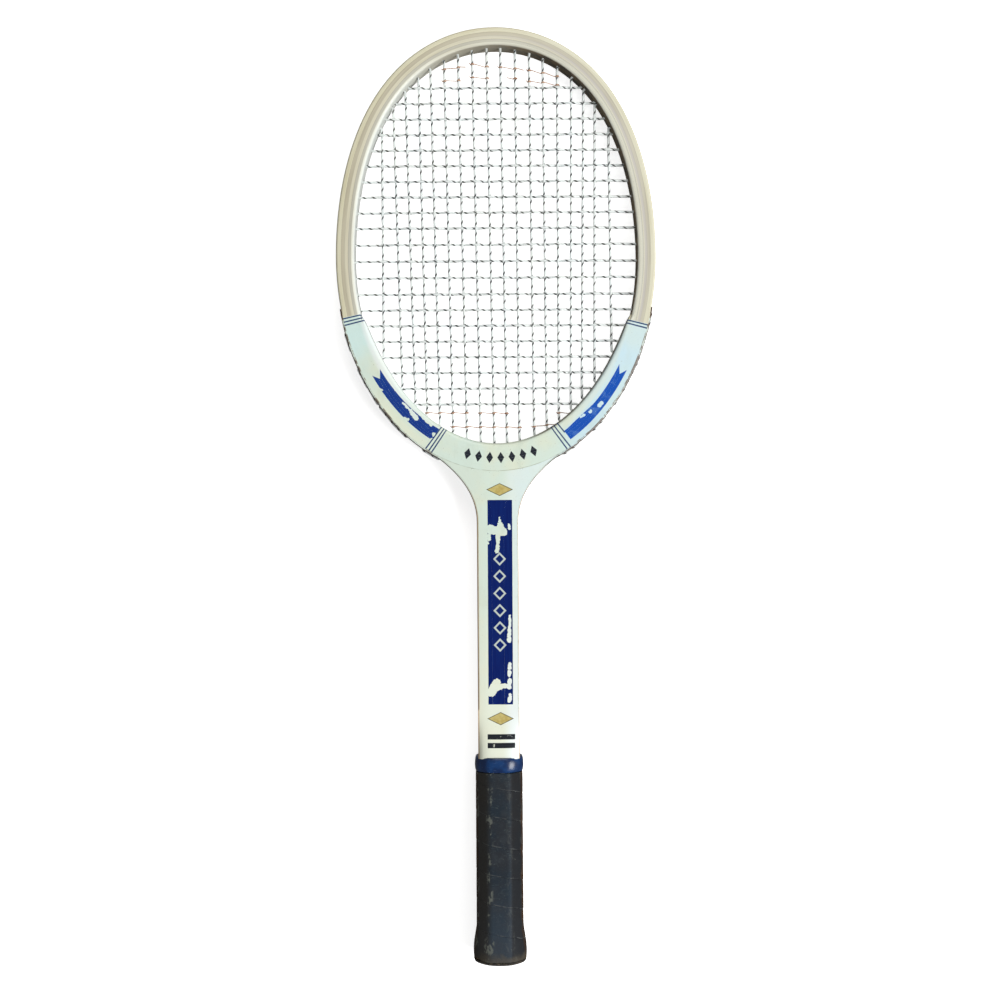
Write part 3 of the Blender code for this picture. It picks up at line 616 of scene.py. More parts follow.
# Name, thickness, pale and dark tone of each ply, from the outside in.
PLIES = [("outer_ply", 0.0038, paint(230, 226, 200), paint(214, 206, 172), "outer_ash"),
         ("outer_dark_ply", 0.0027, paint(208, 201, 178), paint(184, 175, 150), "outer_dark_wood"),
         ("middle_ply", 0.0025, paint(228, 223, 200), paint(210, 203, 177), "middle_tan_wood"),
         ("inner_dark_ply", 0.0020, paint(208, 205, 190), paint(188, 184, 168), "inner_grey_wood"),
         ("inner_ply", 0.0025, paint(236, 235, 219), paint(217, 213, 192), "inner_cream_wood")]


def outer_round(angle):
    """The outside rim is rounded down to where the shoulder strips cover it."""
    covered = (below_middle(angle) - STRIP_START) / STRIP_COVERS_RIM
    return max(SHARP, RIM_ROUND * (1 - min(1, max(0, covered))))


depth = 0
for name, thickness, light, dark, slot in PLIES:
    sections = []
    for i in range(HOOP_STATIONS):
        angle = tau * i / HOOP_STATIONS
        outside = outer_round(angle) if depth == 0 else SHARP
        inside = max(SHARP, INNER_ROUND - crescent_thickness(angle)) if name == "inner_ply" else SHARP
        sections.append(section(hoop_point(angle, depth), hoop_point(angle, depth + thickness), outside, inside))
    ply = swept(name + "_wood", sections, ring=True)
    cutters = drills if depth == 0 else drills[:2] + mouths if name == "inner_ply" else drills[:2]
    for cutter in cutters:
        shape_with(ply, cutter)
    mark_hoop(ply)
    finished(ply, hoop_finish(slot, light, dark, depth), name)
    depth += thickness


# The crescent is a tapered block glued inside the hoop at the throat. It is thickest over the shaft and
# feathers to nothing at the upper blue lines, and its inner edges are rounded like the hoop's.
sections = []
span = pi - 2 * CRESCENT_FEATHER - 2 * CRESCENT_TIP
for i in range(CRESCENT_STATIONS + 1):
    angle = -CRESCENT_FEATHER - CRESCENT_TIP - span * i / CRESCENT_STATIONS
    thickness = crescent_thickness(angle)
    outside, inside = hoop_point(angle, PLY_STACK), hoop_point(angle, PLY_STACK + thickness)
    rounding = INNER_ROUND + (CRESCENT_ROUND - INNER_ROUND) * thickness / CRESCENT_THICKNESS
    sections.append(section(outside, inside, SHARP, min(rounding, thickness * 0.8)))
crescent = swept("throat_crescent_wood", sections)
for cutter in drills[:2] + mouths:
    shape_with(crescent, cutter)
mark_hoop(crescent)
crescent_wood = hoop_finish("white_lacquered_wood", paint(226, 220, 186), paint(206, 196, 150), PLY_STACK)
finished(crescent, crescent_wood, "throat_crescent")


# The throat: a wedge under the hoop and two side laminations outside it, sawn from ash and glued up with
# the shaft's core. White lacquer hides the joints, and the blue panel and the marks are painted over it.
SHAFT_HALF_WIDTH = 0.0152
STRIP_THICKNESS = 0.0012
STRIP_TIP = 0.0005
STRIP_GROWTH = 0.0007
GLUE_LINE = 0.0003
FLARE_FOOT = -0.021
FLARE_RISE = 0.0504
FLARE_SPREAD = 0.031
FLARE_POWER = 2.23
CORE_HALF_WIDTH = 0.0044
WEDGE_SHARE = 0.75
SLOPE_ABOVE_FLARE = 1.6
WEDGE_FOOT = -0.138
WOOD_FOOT = -0.340


def flare_half_width(y):
    if y <= FLARE_FOOT:
        return SHAFT_HALF_WIDTH
    return SHAFT_HALF_WIDTH + FLARE_SPREAD * ((y - FLARE_FOOT) / FLARE_RISE) ** FLARE_POWER


strip_inner, strip_outer = [], []
for i in range(61):
    below = STRIP_START + (STRIP_LEAVES_HOOP - STRIP_START) * i / 60
    grown = min(1, (below - STRIP_START) / (STRIP_FULL - STRIP_START))
    strip_inner.append(hoop_point(-below, 0))
    strip_outer.append(hoop_point(-below, -GLUE_LINE - STRIP_TIP - STRIP_GROWTH * grown))
flare_start = len(strip_inner)
flare_top = strip_outer[-1].y - 0.0015
for i in range(1, 41):
    y = flare_top + (FLARE_FOOT - flare_top) * (i / 40) ** 1.3
    slope = (flare_half_width(y + 0.001) - flare_half_width(y - 0.001)) / 0.002
    edge = Vector((flare_half_width(y), y))
    strip_outer.append(edge)
    strip_inner.append(edge + Vector((-1, slope)).normalized() * STRIP_THICKNESS)
for y in (-0.06, -0.12, -0.18, -0.24, WOOD_FOOT):
    strip_outer.append(Vector((SHAFT_HALF_WIDTH, y)))
    strip_inner.append(Vector((SHAFT_HALF_WIDTH - STRIP_THICKNESS, y)))


def side_edge_x(y):
    """Half the laminations' width at a height, inside the strips."""
    edge = strip_inner[flare_start:]
    for upper, lower in zip(edge, edge[1:]):
        if lower.y <= y <= upper.y:
            return lower.x + (upper.x - lower.x) * (y - lower.y) / (upper.y - lower.y)
    return edge[0].x + (y - edge[0].y) * SLOPE_ABOVE_FLARE if y > edge[0].y else edge[-1].x


def hoop_edge_x(y):
    s = min(1, (HEAD_Y - y) / HEAD_BOTTOM)
    return HEAD_HALF_WIDTH * sqrt(1 - s * s)


def wedge_edge_x(y):
    return CORE_HALF_WIDTH + (side_edge_x(y) - SHAFT_HALF_WIDTH + STRIP_THICKNESS) * WEDGE_SHARE


crotch = halved(lambda y: hoop_edge_x(y) > side_edge_x(y), HEAD_Y - HEAD_BOTTOM, flare_top + 0.001)
wedge_top = halved(lambda y: hoop_edge_x(y) > wedge_edge_x(y), HEAD_Y - HEAD_BOTTOM, flare_top)
wedge_reach = wedge_edge_x(wedge_top)


def wedge_foot_at(x):
    if abs(x) <= CORE_HALF_WIDTH:
        return WEDGE_FOOT
    return halved(lambda y: wedge_edge_x(y) > abs(x), FLARE_FOOT, wedge_top)


wedge_plan = []
for i in range(49):
    x = wedge_reach * (i / 24 - 1) * 0.998
    wedge_plan.append((x, wedge_foot_at(x)))
for x in (-CORE_HALF_WIDTH, CORE_HALF_WIDTH):
    wedge_plan += [(x, WEDGE_FOOT), (x * 1.001, FLARE_FOOT)]
wedge_plan.sort()
sections = []
for x, foot in wedge_plan:
    arch = HEAD_Y - HEAD_BOTTOM * sqrt(1 - (x / HEAD_HALF_WIDTH) ** 2)
    sections.append(section(Vector((x, arch)), Vector((x, foot)), SHARP, SHARP))
wedge = swept("throat_wedge_wood", sections)

sides = []
heights = [WOOD_FOOT, -0.28, -0.2, -0.15, -0.1, -0.06, FLARE_FOOT]
heights += [FLARE_FOOT + (crotch - FLARE_FOOT) * (i / 40) for i in range(1, 40)] + [crotch - 0.0001]
for name, side in (("side_lamination_left", -1), ("side_lamination_right", 1)):
    sections = []
    for y in heights:
        near = max(wedge_edge_x(y), hoop_edge_x(y))
        sections.append(section(Vector((side * near, y)), Vector((side * side_edge_x(y), y)), SHARP, SHARP))
    sides.append(swept(name + "_wood", sections))
core_ends = [Vector((-CORE_HALF_WIDTH, WOOD_FOOT)), Vector((-CORE_HALF_WIDTH, WEDGE_FOOT))]
across = Vector((2 * CORE_HALF_WIDTH, 0))
core = swept("shaft_core_wood", [section(end, end + across, SHARP, SHARP) for end in core_ends])

PANEL = (0.0015, 0.0090, -0.1533, -0.0036)
# The panel's chips: x, y and half width at one end, then at the other, in millimetres.
PANEL_CHIPS = [(-5.2, -25.2, 3.3, -1.1, -26.3, 2.9), (1.8, -21.2, 1.6, 2.5, -26.3, 3.4),
               (4.0, -26.3, 2.2, 5.1, -27.8, 1.8), (1.3, -16.1, 0.3, 1.5, -19.7, 0.9),
               (0.3, -29.3, 1.9, 0.1, -35.8, 1.0), (0.0, -35.8, 1.0, -0.6, -41.0, 1.6),
               (-6.3, -29.2, 0.9, -6.4, -32.9, 0.8), (-7.3, -34.7, 0.7, -7.0, -35.1, 0.6),
               (8.3, -21.6, 0.7, 8.5, -24.5, 0.7), (8.5, -88.6, 0.7, 8.3, -95.9, 0.9),
               (8.2, -95.9, 1.0, 7.9, -106.9, 1.4), (8.4, -123.3, 1.0, 8.1, -126.3, 1.4),
               (8.1, -129.6, 1.3, 7.8, -131.8, 1.1), (8.1, -135.4, 1.2, 7.7, -140.5, 1.5),
               (-1.4, -137.4, 2.9, -5.1, -144.3, 3.1), (-1.1, -140.5, 2.5, 6.6, -139.4, 1.2),
               (8.4, -146.4, 0.9, 7.8, -150.4, 1.4)]
COLUMN_TOP = -0.0468
COLUMN_STEP = 0.0126
COLUMN_X = 0.0013
COLUMN_HALF = (0.0048, 0.0050)
LOZENGES = [(0.0016, 0.0040), (0.0013, -0.1636)]
LOZENGE_HALF = (0.0098, 0.0047)
BARS = [(0.0018, -0.1766), (0.0018, -0.1828)]
BAR_HALF = (0.0101, 0.0019)


def shaft_finish():
    """White lacquer over the shaft's wood, with the blue panel and its column of six hollow lozenges, two gold
    lozenges and two black bars."""
    finish = Finish("white_lacquered_shaft", Coat_Weight=0.25, Coat_Roughness=0.14, Coat_IOR=1.5,
                    Specular_IOR_Level=0.12)
    place = finish.place()
    x, y, z = parts(place)
    facing = finish.facing(0.5, 0.85)
    face_x = x * (step(z, STRINGS_Z - 0.0001, STRINGS_Z + 0.0001) * 2 - 1)

    low = under(y, -0.19, -0.03)
    # Across the shaft the lacquer is painted creamier and darker on the left as painted shade, and brighter and bluer
    # on the right as painted light from the key.
    left = under(x, -0.015, -0.006)
    side = abs(x) - step(x, -0.01, 0.01) * 0.0004
    bare = step(side + noise(place, 70) * 0.0006, 0.0142, 0.0148) * under(y, -0.15, -0.13)
    colour = coated(white_lacquer(place, x), (low * 0.75, 246, 248, 228), (left * (0.2 + low * 0.2), 218, 220, 198),
                    (step(x, 0.002, 0.011) * (0.35 + low * 0.5), 246, 254, 255), (bare * 0.75, 196, 160, 120))

    cx, half, bottom, top = PANEL
    lean = face_x - cx - (y - bottom) * 0.0013
    panel = within(lean, half) * between(y, bottom, top) * facing
    panel = panel * (1 - chips(face_x, y, place, PANEL_CHIPS))
    column = (COLUMN_TOP - y) / COLUMN_STEP
    reach = abs(face_x - COLUMN_X) / COLUMN_HALF[0]
    reach = reach + abs(column - column.work("ROUND")) * COLUMN_STEP / COLUMN_HALF[1]
    hollow = under(reach, 0.94, 1.04) * step(reach, 0.58, 0.68) * under(abs(column - 2.5), 2.95, 3.0)
    brushed = mottle(stretch(place, (900, 60, 900)), 1, 0.35, 0.75, 3, 0.6)
    blue = mix(brushed * 0.4, paint(0, 26, 98), paint(12, 48, 124))
    colour = mix(panel, colour, coated(blue, (hollow * 0.92, 206, 216, 208)))

    gold = mix(mottle(place, 300, 0.4, 0.7), paint(206, 190, 122), paint(190, 168, 96))
    for cx, cy in LOZENGES:
        reach = abs(face_x - cx) / LOZENGE_HALF[0] + abs(y - cy) / LOZENGE_HALF[1]
        lozenge = coated(gold, (step(reach, 0.86, 0.9), 92, 90, 66))
        colour = mix(under(reach, 0.98, 1.02) * facing, colour, lozenge)
    rubbed = mottle(place, 380, 0.62, 0.72, 3, 0.7)
    for cx, cy in BARS:
        bar = within(face_x - cx, BAR_HALF[0]) * within(y - cy, BAR_HALF[1]) * facing
        colour = coated(colour, (bar * (1 - rubbed * 0.8), 34, 38, 44))
    return finish.done(colour, 0.36 + noise(place, 90, 3) * 0.14, noise(place, 45) + panel * 0.1, 0.10, 0.0006)


shaft_white = shaft_finish()


# Hardwood strips are glued round the shoulders and down the flare and the shaft's two sides. Their outsides
# are dark round the shoulders and tan down the shaft, and the white paint laps over their faces.
def strip_finish():
    finish = Finish("dark_edge_wood", Coat_Weight=0.8, Coat_Roughness=0.2)
    place = finish.place()
    x, y, z = parts(place)
    dark, streaks = grain(together(y, x, z), paint(92, 62, 40), paint(50, 32, 22), 700)
    ash = mix(streaks, paint(200, 166, 126), paint(168, 130, 90))
    bare = under(y, -0.02, 0.03)
    facing = finish.facing(0.85, 0.985)
    lap = facing * step(noise(place, 160, 3, 0.7) + facing * 0.4, 0.5, 0.75) * under(y, 0.1285, 0.1295)
    bared = mottle(place, 90, 0.42, 0.55, 3, 0.7) * step(y, 0.015, 0.04)
    lap = lap * (1 - bared * 0.85) * (1 - bare * under(x, -0.01, 0.01) * 0.7)
    colour = mix(lap, mix(bare * 0.85, dark, ash), white_lacquer(place, x))
    return finish.done(colour, 0.42 + streaks * 0.1, streaks, 0.15, 0.0004)


dark_edge = strip_finish()
strips = []
for name, side in (("shoulder_strip_left", -1), ("shoulder_strip_right", 1)):
    sections = []
    for outer, inner in zip(strip_outer, strip_inner):
        outer, inner = (Vector((side * p.x, p.y)) for p in (outer, inner))
        sections.append(section(outer, inner, 0.7 * (outer - inner).length, SHARP))
    strips.append(swept(name + "_wood", sections))


# The handle: two cheeks of ash deepen the shaft front and back, and the wood inside the grip is moulded
# to eight sides. The cheeks' upper ends slope down on to the shaft above the collar and are painted with it.
GRIP_HALF_WIDTH = 0.01725
GRIP_HALF_DEPTH = 0.01475
GRIP_FRONT_FLAT = 0.00785
GRIP_SIDE_FLAT = 0.00725
BUTT_HALF_WIDTH = 0.0196
BUTT_HALF_DEPTH = 0.017
BUTT_START = 0.0285
BUTT_FULL = 0.0090
LEATHER = 0.00175
COLLAR_BOTTOM = -0.2027
COLLAR_TOP = -0.1918
CHEEK_TOP = -0.157
CORNER_CUT = 0.0026
BUTT_CORNER_CUT = 0.0050
END_ROUND = 0.0028
CHEEK_RISE = 0.0038
CHEEK_HALF_WIDTH = 0.01515
CHEEK_FACE = 0.00903
CHEEK_FOOT = COLLAR_TOP - 0.004
CHEEK_STATIONS = 20
WOOD_CLEAR = 0.0002
BLANK_SPREAD = 30
CORNER_STEPS = 5
ROUND = 8 * CORNER_STEPS


def eased(t):
    """A smooth rise from 0 to 1, level at both ends."""
    t = min(1, max(0, t))
    return t * t * (3 - 2 * t)


def handle_point(index, y, inset, cut=CORNER_CUT):
    """A point of the handle's rounded eight-sided section, five to a corner, inset below the leather's face."""
    up = y - BUTT_Y
    growth = eased((BUTT_START - up) / (BUTT_START - BUTT_FULL))
    inset += 0.0003 * eased((0.008 - up) / 0.006)
    inset += END_ROUND - sqrt(END_ROUND ** 2 - max(0, END_ROUND - up) ** 2)
    cut += (BUTT_CORNER_CUT - CORNER_CUT) * growth
    width = GRIP_HALF_WIDTH + (BUTT_HALF_WIDTH - GRIP_HALF_WIDTH) * growth - inset
    depth = GRIP_HALF_DEPTH + (BUTT_HALF_DEPTH - GRIP_HALF_DEPTH) * growth - inset
    corner = inset * tan(radians(21))
    front = GRIP_FRONT_FLAT * width / GRIP_HALF_WIDTH - corner * (1 - inset / width)
    side = GRIP_SIDE_FLAT * depth / GRIP_HALF_DEPTH - corner * (1 - inset / depth)
    quarter = [(front, depth), (-front, depth), (-width, side), (-width, -side)]
    corners = [Vector(p) for p in quarter + [(-a, -b) for a, b in quarter]]
    at, place = divmod(index % ROUND, CORNER_STEPS)
    here, before, after = corners[at], corners[at - 1], corners[(at + 1) % 8]
    if place == 4:
        point = (here + after) / 2
    else:
        start, end = (here + (p - here).normalized() * cut for p in (before, after))
        t = place / 3
        point = start * (1 - t) ** 2 + here * 2 * t * (1 - t) + end * t ** 2
    return Vector((point.x, y, STRINGS_Z + point.y))


def cheek_section(y, face):
    """A cheek's section: a low crown over the shaft, that sinks into it as the cheek runs out."""
    rise = CHEEK_RISE * (1 - eased((y - COLLAR_TOP) / (CHEEK_TOP - COLLAR_TOP)))
    across = [i / 8 - 1 for i in range(17)]
    crown = [(CHEEK_HALF_WIDTH * t, CHEEK_FACE + rise * max(0, 1 - abs(t) ** 3.2) ** 0.62) for t in across]
    points = [(-CHEEK_HALF_WIDTH, HALF_DEPTH), *crown, (CHEEK_HALF_WIDTH, HALF_DEPTH)]
    return [Vector((x * face, y, STRINGS_Z + z * face)) for x, z in points]


cheeks = []
for name, face in (("handle_pallet_front", 1), ("handle_pallet_back", -1)):
    heights = [CHEEK_FOOT + (CHEEK_TOP - CHEEK_FOOT) * i / CHEEK_STATIONS for i in range(CHEEK_STATIONS + 1)]
    cheeks.append(swept(name + "_wood", [cheek_section(y, face) for y in (WOOD_FOOT, -0.25, *heights)]))

moulded = [handle_point(i, -0.25, LEATHER + WOOD_CLEAR) for i in range(ROUND)]
blank_sections = [[Vector((p.x, y, p.z)) for p in moulded] for y in (-0.36, COLLAR_TOP - 0.001)]
far = [Vector((p.x * BLANK_SPREAD, p.y, STRINGS_Z + (p.z - STRINGS_Z) * BLANK_SPREAD)) for p in blank_sections[1]]
blank_sections += [far, [Vector((p.x, 0.4, p.z)) for p in far]]
blank = swept("moulded_blank", blank_sections)


for piece in [*sides, core, *strips, *cheeks]:
    shape_with(piece, blank, "INTERSECT")
for piece in [wedge, *sides, *strips]:
    for drill in drills:
        shape_with(piece, drill)
for cutter in [blank, *drills, *mouths]:
    bpy.data.objects.remove(cutter)
for pieces, material, slot, angle in (([wedge, *sides], shaft_white, "white_lacquered_wood", 35),
                                      ([core], shaft_white, "blue_lacquered_wood", 35),
                                      (strips, dark_edge, "dark_edge_wood", 35),
                                      (cheeks, shaft_white, "cream_lacquered_wood", 50)):
    for piece in pieces:
        finished(piece, material, piece.name.removesuffix("_wood"), angle)


# The butt's wood is built out under the leather to make the flared end. It is bare ash and never shows,
# so its solid stays and only gets its wood.
finish = Finish("butt_build_up_wood")
x, y, z = parts(finish.place())
colour, streaks = grain(together(y, x, z), paint(196, 170, 120), paint(160, 128, 80), 500)
build_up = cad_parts["butt_flare"]
build_up.data.materials.clear()
build_up.data.materials.append(finish.done(colour, 0.6, streaks, 0.3, 0.0005))


# The grip is one strip of leather wound up the handle from the butt, each turn's skived edge lapped by the
# next. It is nearly black, rubbed brown along its edges and corners and scuffed pale where it is held.
LEATHER_TOP = -0.203
LEATHER_PITCH = 0.0214
FIRST_SEAM = -0.2996
LEATHER_WIDTH = LEATHER_PITCH - 0.00006
CORNER_TURNS = (-0.12, -0.04, 0.04, 0.12, 0.5)
SKIVE = [(0, 0.00156), (0.008, 0.00169), (0.03, 0.00174), (0.1, 0.00175), (0.3, 0.00175), (0.55, 0.00174),
         (0.8, 0.00171), (0.93, 0.00165), (0.98, 0.00159), (1, 0.00150)]
sections, laid = [], []
for station in range(-120, 190):
    corner, place = divmod(station, CORNER_STEPS)
    turns = corner + CORNER_TURNS[place]
    low = FIRST_SEAM + LEATHER_PITCH * (turns - 0.5) / 8
    high = min(LEATHER_TOP, low + LEATHER_WIDTH)
    low = max(WOOD_FOOT, low)
    if high - low < 0.0015:
        continue
    loop, marks = [], []
    for across, thick in SKIVE + [(1, 0), (0.5, 0), (0, 0)]:
        loop.append(handle_point(station, low + (high - low) * across, LEATHER - thick))
        marks.append((turns, across, thick * 1000))
    sections.append(loop)
    laid.append(marks)

leather = swept("leather_grip_wrap", sections, marks=laid)


def leather_finish():
    finish = Finish("grip_leather", Coat_Weight=0.04, Coat_Roughness=0.4, Specular_IOR_Level=0.16)
    turns, across, _ = finish.mark("laid")
    place = finish.place()
    x, y, _ = parts(place)
    patches = noise(place, 55, 3, 0.6)
    mottled = mottle(stretch(place, (420, 1100, 420)), 1, 0.56, 0.74, 3, 0.75)
    flared = under(y, BUTT_Y + BUTT_FULL, BUTT_Y + BUTT_START) * 0.0022
    brown = step(abs(x) - flared + noise(place, 110) * 0.002, 0.0162, 0.0174)
    brown = brown * (0.5 + mottle(place, 70, 0.42, 0.6, 3) * 0.4)
    lip = under(across, 0.015, 0.05) * mottle(place, 170, 0.4, 0.6, 3, 0.7)
    corner = under(abs(turns - turns.work("ROUND")), 0.05, 0.2)
    scuffs = corner * mottle(stretch(place, (260, 120, 260)), 1, 0.53, 0.64, 3, 0.7)
    scuffs = scuffs * (1 - step(x, 0, 0.002) * 0.8) | mottle(place, 420, 0.66, 0.74, 3, 0.7) * 0.5
    end_wear = under(y - noise(place, 160, 3) * 0.012, BUTT_Y - 0.002, BUTT_Y + 0.004)
    colour = mix(step(patches, 0.35, 0.65), paint(30, 43, 54), paint(41, 45, 51))
    # Of the grip's facets, the left ones are painted lighter as painted light and the right one darker as painted
    # shade.
    colour = coated(colour, (mottle(place, 130, 0.5, 0.72, 3) * 0.5, 52, 58, 64), (mottled * 0.5, 84, 96, 96),
                    (under(y, -0.33, -0.27) * 0.3, 72, 82, 94), (under(x, -0.011, -0.005) * 0.75, 60, 57, 52),
                    (step(x, 0.0075, 0.0095) * 0.75, 24, 23, 24), (brown, 66, 44, 25), (lip * 0.6, 98, 100, 100),
                    (end_wear * 0.5, 92, 84, 70), (scuffs * 0.65, 118, 122, 114))
    pores = finish.add("ShaderNodeTexVoronoi", {"feature": "F1"}, {"Vector": place, "Scale": 1100})
    return finish.done(colour, 0.62 + patches * 0.2 + scuffs * 0.12, pores * 0.6 + noise(place, 300, 3) * 0.8,
                       0.35, 0.0004)


finished(leather, leather_finish(), "leather_grip", 60)


# The collar is a short band of blue plastic rolled over the leather's upper end. Its edges are rounded and
# it is shiny, with a few fine scratches.
COLLAR_CUT = 0.0042
COLLAR_PROFILE = [(0, -0.0017), (0, -0.0008), (0.0003, -0.0002), (0.0011, 0.0002), (0.003, 0.0005),
                  (0.0055, 0.00065), (0.008, 0.00045), (0.0098, 0.0001), (0.0105, -0.0003), (0.0109, -0.0010),
                  (0.0109, -0.0017)]
sections = [[handle_point(index, COLLAR_BOTTOM + up, -out, COLLAR_CUT) for up, out in COLLAR_PROFILE]
            for index in range(ROUND)]
collar = swept("collar_band_plastic", sections, ring=True)
finish = Finish("collar_plastic", Coat_Weight=0.45, Coat_Roughness=0.2, Specular_IOR_Level=0.3)
place = finish.place()
scratches = noise(stretch(place, (260, 1500, 260)), 1, 3, 0.6)
smudges = noise(place, 120, 3)
colour = mix(step(smudges, 0.4, 0.65), paint(10, 38, 82), paint(16, 58, 110))
colour = coated(colour, (step(scratches, 0.62, 0.7) * 0.4, 90, 116, 160))
blue_plastic = finish.done(colour, 0.22 + smudges * 0.16, scratches + smudges, 0.3, 0.0005)
finished(collar, blue_plastic, "collar_band", 60)


# The butt plate is a black plastic cap nailed over the end of the wood and the leather, with a rounded
# rim and a shallow recess. Nothing is marked on it.
PLATE_HEIGHTS = (0, 0.0001, 0.0004, 0.0009, 0.0017, 0.0027)
PLATE_RIM = 0.0028
RECESS = 0.0005
sections = [[handle_point(i, BUTT_Y + up, 0) for i in range(ROUND)] for up in PLATE_HEIGHTS]
butt_plate = swept("butt_plate_cap", sections)


def take_face(piece, corners, below=inf):
    """Takes the one face of a piece that has this many corners and lies lower down the handle."""
    bpy.ops.object.mode_set(mode="EDIT")
    bpy.ops.mesh.select_mode(type="FACE")
    bpy.ops.mesh.select_all(action="DESELECT")
    bpy.ops.object.mode_set(mode="OBJECT")
    for face in piece.data.polygons:
        face.select = len(face.vertices) == corners and face.center.y < below
    bpy.ops.object.mode_set(mode="EDIT")


take_face(butt_plate, ROUND, BUTT_Y + 0.0005)
bpy.ops.mesh.inset(thickness=PLATE_RIM)
bpy.ops.mesh.inset(thickness=RECESS, depth=-RECESS)
bpy.ops.mesh.select_mode(type="VERT")
bpy.ops.object.mode_set(mode="OBJECT")
finish = Finish("butt_plate_plastic")
place = finish.place()
mottled = noise(place, 220, 3, 0.6)
colour = mix(mottle(place, 600, 0.48, 0.66, 3, 0.7) * 0.7, paint(44, 41, 38), paint(112, 100, 82))
black_plastic = finish.done(colour, 0.42 + mottled * 0.2, mottled, 0.2, 0.0004)
finished(butt_plate, black_plastic, "butt_plate")


# Two dome-headed steel tacks hold the leather's ends at the back of the handle. Each is half a ball
# pressed flat, and its shank is drawn out of the underside.
TACK_SIDES = 24
TACK_RADIUS = 0.0022
TACK_SHANK = 0.005
finish = Finish("tack_steel", Metallic=1.0)
tarnish = noise(finish.place(), 900, 3)
finish.set(Base_Color=mix(step(tarnish, 0.5, 0.7), paint(176, 172, 164), paint(120, 104, 84)))
finish.set(Roughness=0.28 + tarnish * 0.25)
for name, y in (("grip_tack_butt", -0.313), ("grip_tack_top", -0.212)):
    bpy.ops.mesh.primitive_uv_sphere_add(segments=TACK_SIDES, ring_count=16, radius=TACK_RADIUS)
    tack = bpy.context.object
    tack.name = name + "_steel"
    bpy.ops.object.mode_set(mode="EDIT")
    bpy.ops.mesh.select_all(action="SELECT")
    bpy.ops.mesh.bisect(plane_co=(0, 0, 0), plane_no=(0, 0, 1), clear_outer=True, use_fill=True)
    bpy.ops.mesh.select_all(action="SELECT")
    bpy.ops.transform.resize(value=(1, 1, 0.4))
    bpy.ops.transform.translate(value=(0, y, STRINGS_Z - GRIP_HALF_DEPTH - 0.0001))
    take_face(tack, TACK_SIDES)
    bpy.ops.mesh.inset(thickness=0.0015)
    bpy.ops.mesh.extrude_region_move(TRANSFORM_OT_translate={"value": (0, 0, TACK_SHANK)})
    bpy.ops.transform.resize(value=(0.3, 0.3, 1))
    bpy.ops.mesh.select_mode(type="VERT")
    bpy.ops.object.mode_set(mode="OBJECT")
    finished(tack, finish.material, name)


# The strings are two lengths of pale nylon with a dark tracer twisted through it. The mains go down and up,
# then the crosses are woven over and under them, and each length turns round outside the hoop.
WEAVE = 0.00096
TRACER_PITCH = 0.0071
STEP_LENGTH = 0.0014
MOUTH_BEND = 0.0009
TURN_BEND = 0.0013
KNOT_CLEAR = 0.002


def rounded(points):
    """Turns each marked corner of a route into a short curve. A point is its place and its corner's size."""
    route = []
    for i, (here, size) in enumerate(points):
        if not size:
            route.append(here)
            continue
        before, after = points[i - 1][0], points[i + 1][0]
        start = here + (before - here).normalized() * min(size, (before - here).length * 0.48)
        end = here + (after - here).normalized() * min(size, (after - here).length * 0.48)
        for part in range(5):
            t = part / 4
            route.append(start * (1 - t) ** 2 + here * 2 * t * (1 - t) + end * t ** 2)
    return route


def woven(start, end, knots, hole_height):
    """Points along one run, from mouth to mouth. Knots are the crossings: distance along and side."""
    length = (end - start).length
    stations = [(0, hole_height), *((at, side * WEAVE) for at, side in knots), (length, hole_height)]
    count = round(length / STEP_LENGTH)
    points = []
    for i in range(1, count):
        at = length * i / count
        later = next(j for j, (place, _) in enumerate(stations) if place >= at)
        (a, low), (b, high) = stations[later - 1], stations[later]
        blend = (1 - cos(pi * (at - a) / (b - a))) / 2
        spot = start.lerp(end, at / length)
        points.append((Vector((*spot, STRINGS_Z + low + (high - low) * blend)), 0))
    return points


def string_route(runs, sign, crossings):
    """One string's whole route: each run through the bed, then its loop outside to the next."""
    points = [(bed_point(runs[0][0], GROOVE_SEAT, sign * HOLE_LAYER), 0)]
    for index, run in enumerate(runs):
        start, end = hole_mouth(run[0]), hole_mouth(run[1])
        points.append((Vector((*start, STRINGS_Z + sign * BED_LAYER)), MOUTH_BEND))
        points += woven(start, end, crossings(index, start, end), sign * BED_LAYER)
        points.append((Vector((*end, STRINGS_Z + sign * BED_LAYER)), MOUTH_BEND))
        if index + 1 < len(runs):
            pair = (run[1], runs[index + 1][0])
            seat = string_seat(sum(pair) / 2)
            points += [(bed_point(angle, -seat, sign * HOLE_LAYER), TURN_BEND) for angle in pair]
    points.append((bed_point(runs[-1][1], GROOVE_SEAT, sign * HOLE_LAYER), 0))
    return rounded(points)


def over_crosses(index, start, end):
    """Where a main meets the crosses, and which side of them it passes."""
    low, high = sorted((start.y, end.y))
    slope = (end - start).length / (high - low)
    knots = [(abs(y - start.y) * slope, 1 if (index + j) % 2 == 0 else -1)
             for j, y in enumerate(CROSSES) if low + KNOT_CLEAR < y < high - KNOT_CLEAR]
    return sorted(knots)


def main_x(index, y):
    """A main's x where it passes y. The mains fan out a little, so it changes along each of them."""
    start, end = (hole_mouth(angle) for angle in main_runs[index])
    return start.x + (end.x - start.x) * (y - start.y) / (end.y - start.y)


def over_mains(index, start, end):
    low, high = sorted((start.x, end.x))
    passed = [main_x(j, start.y) for j in range(len(main_runs))]
    knots = [(abs(x - start.x), -1 if (index + j) % 2 == 0 else 1)
             for j, x in enumerate(passed) if low + KNOT_CLEAR < x < high - KNOT_CLEAR]
    return sorted(knots)


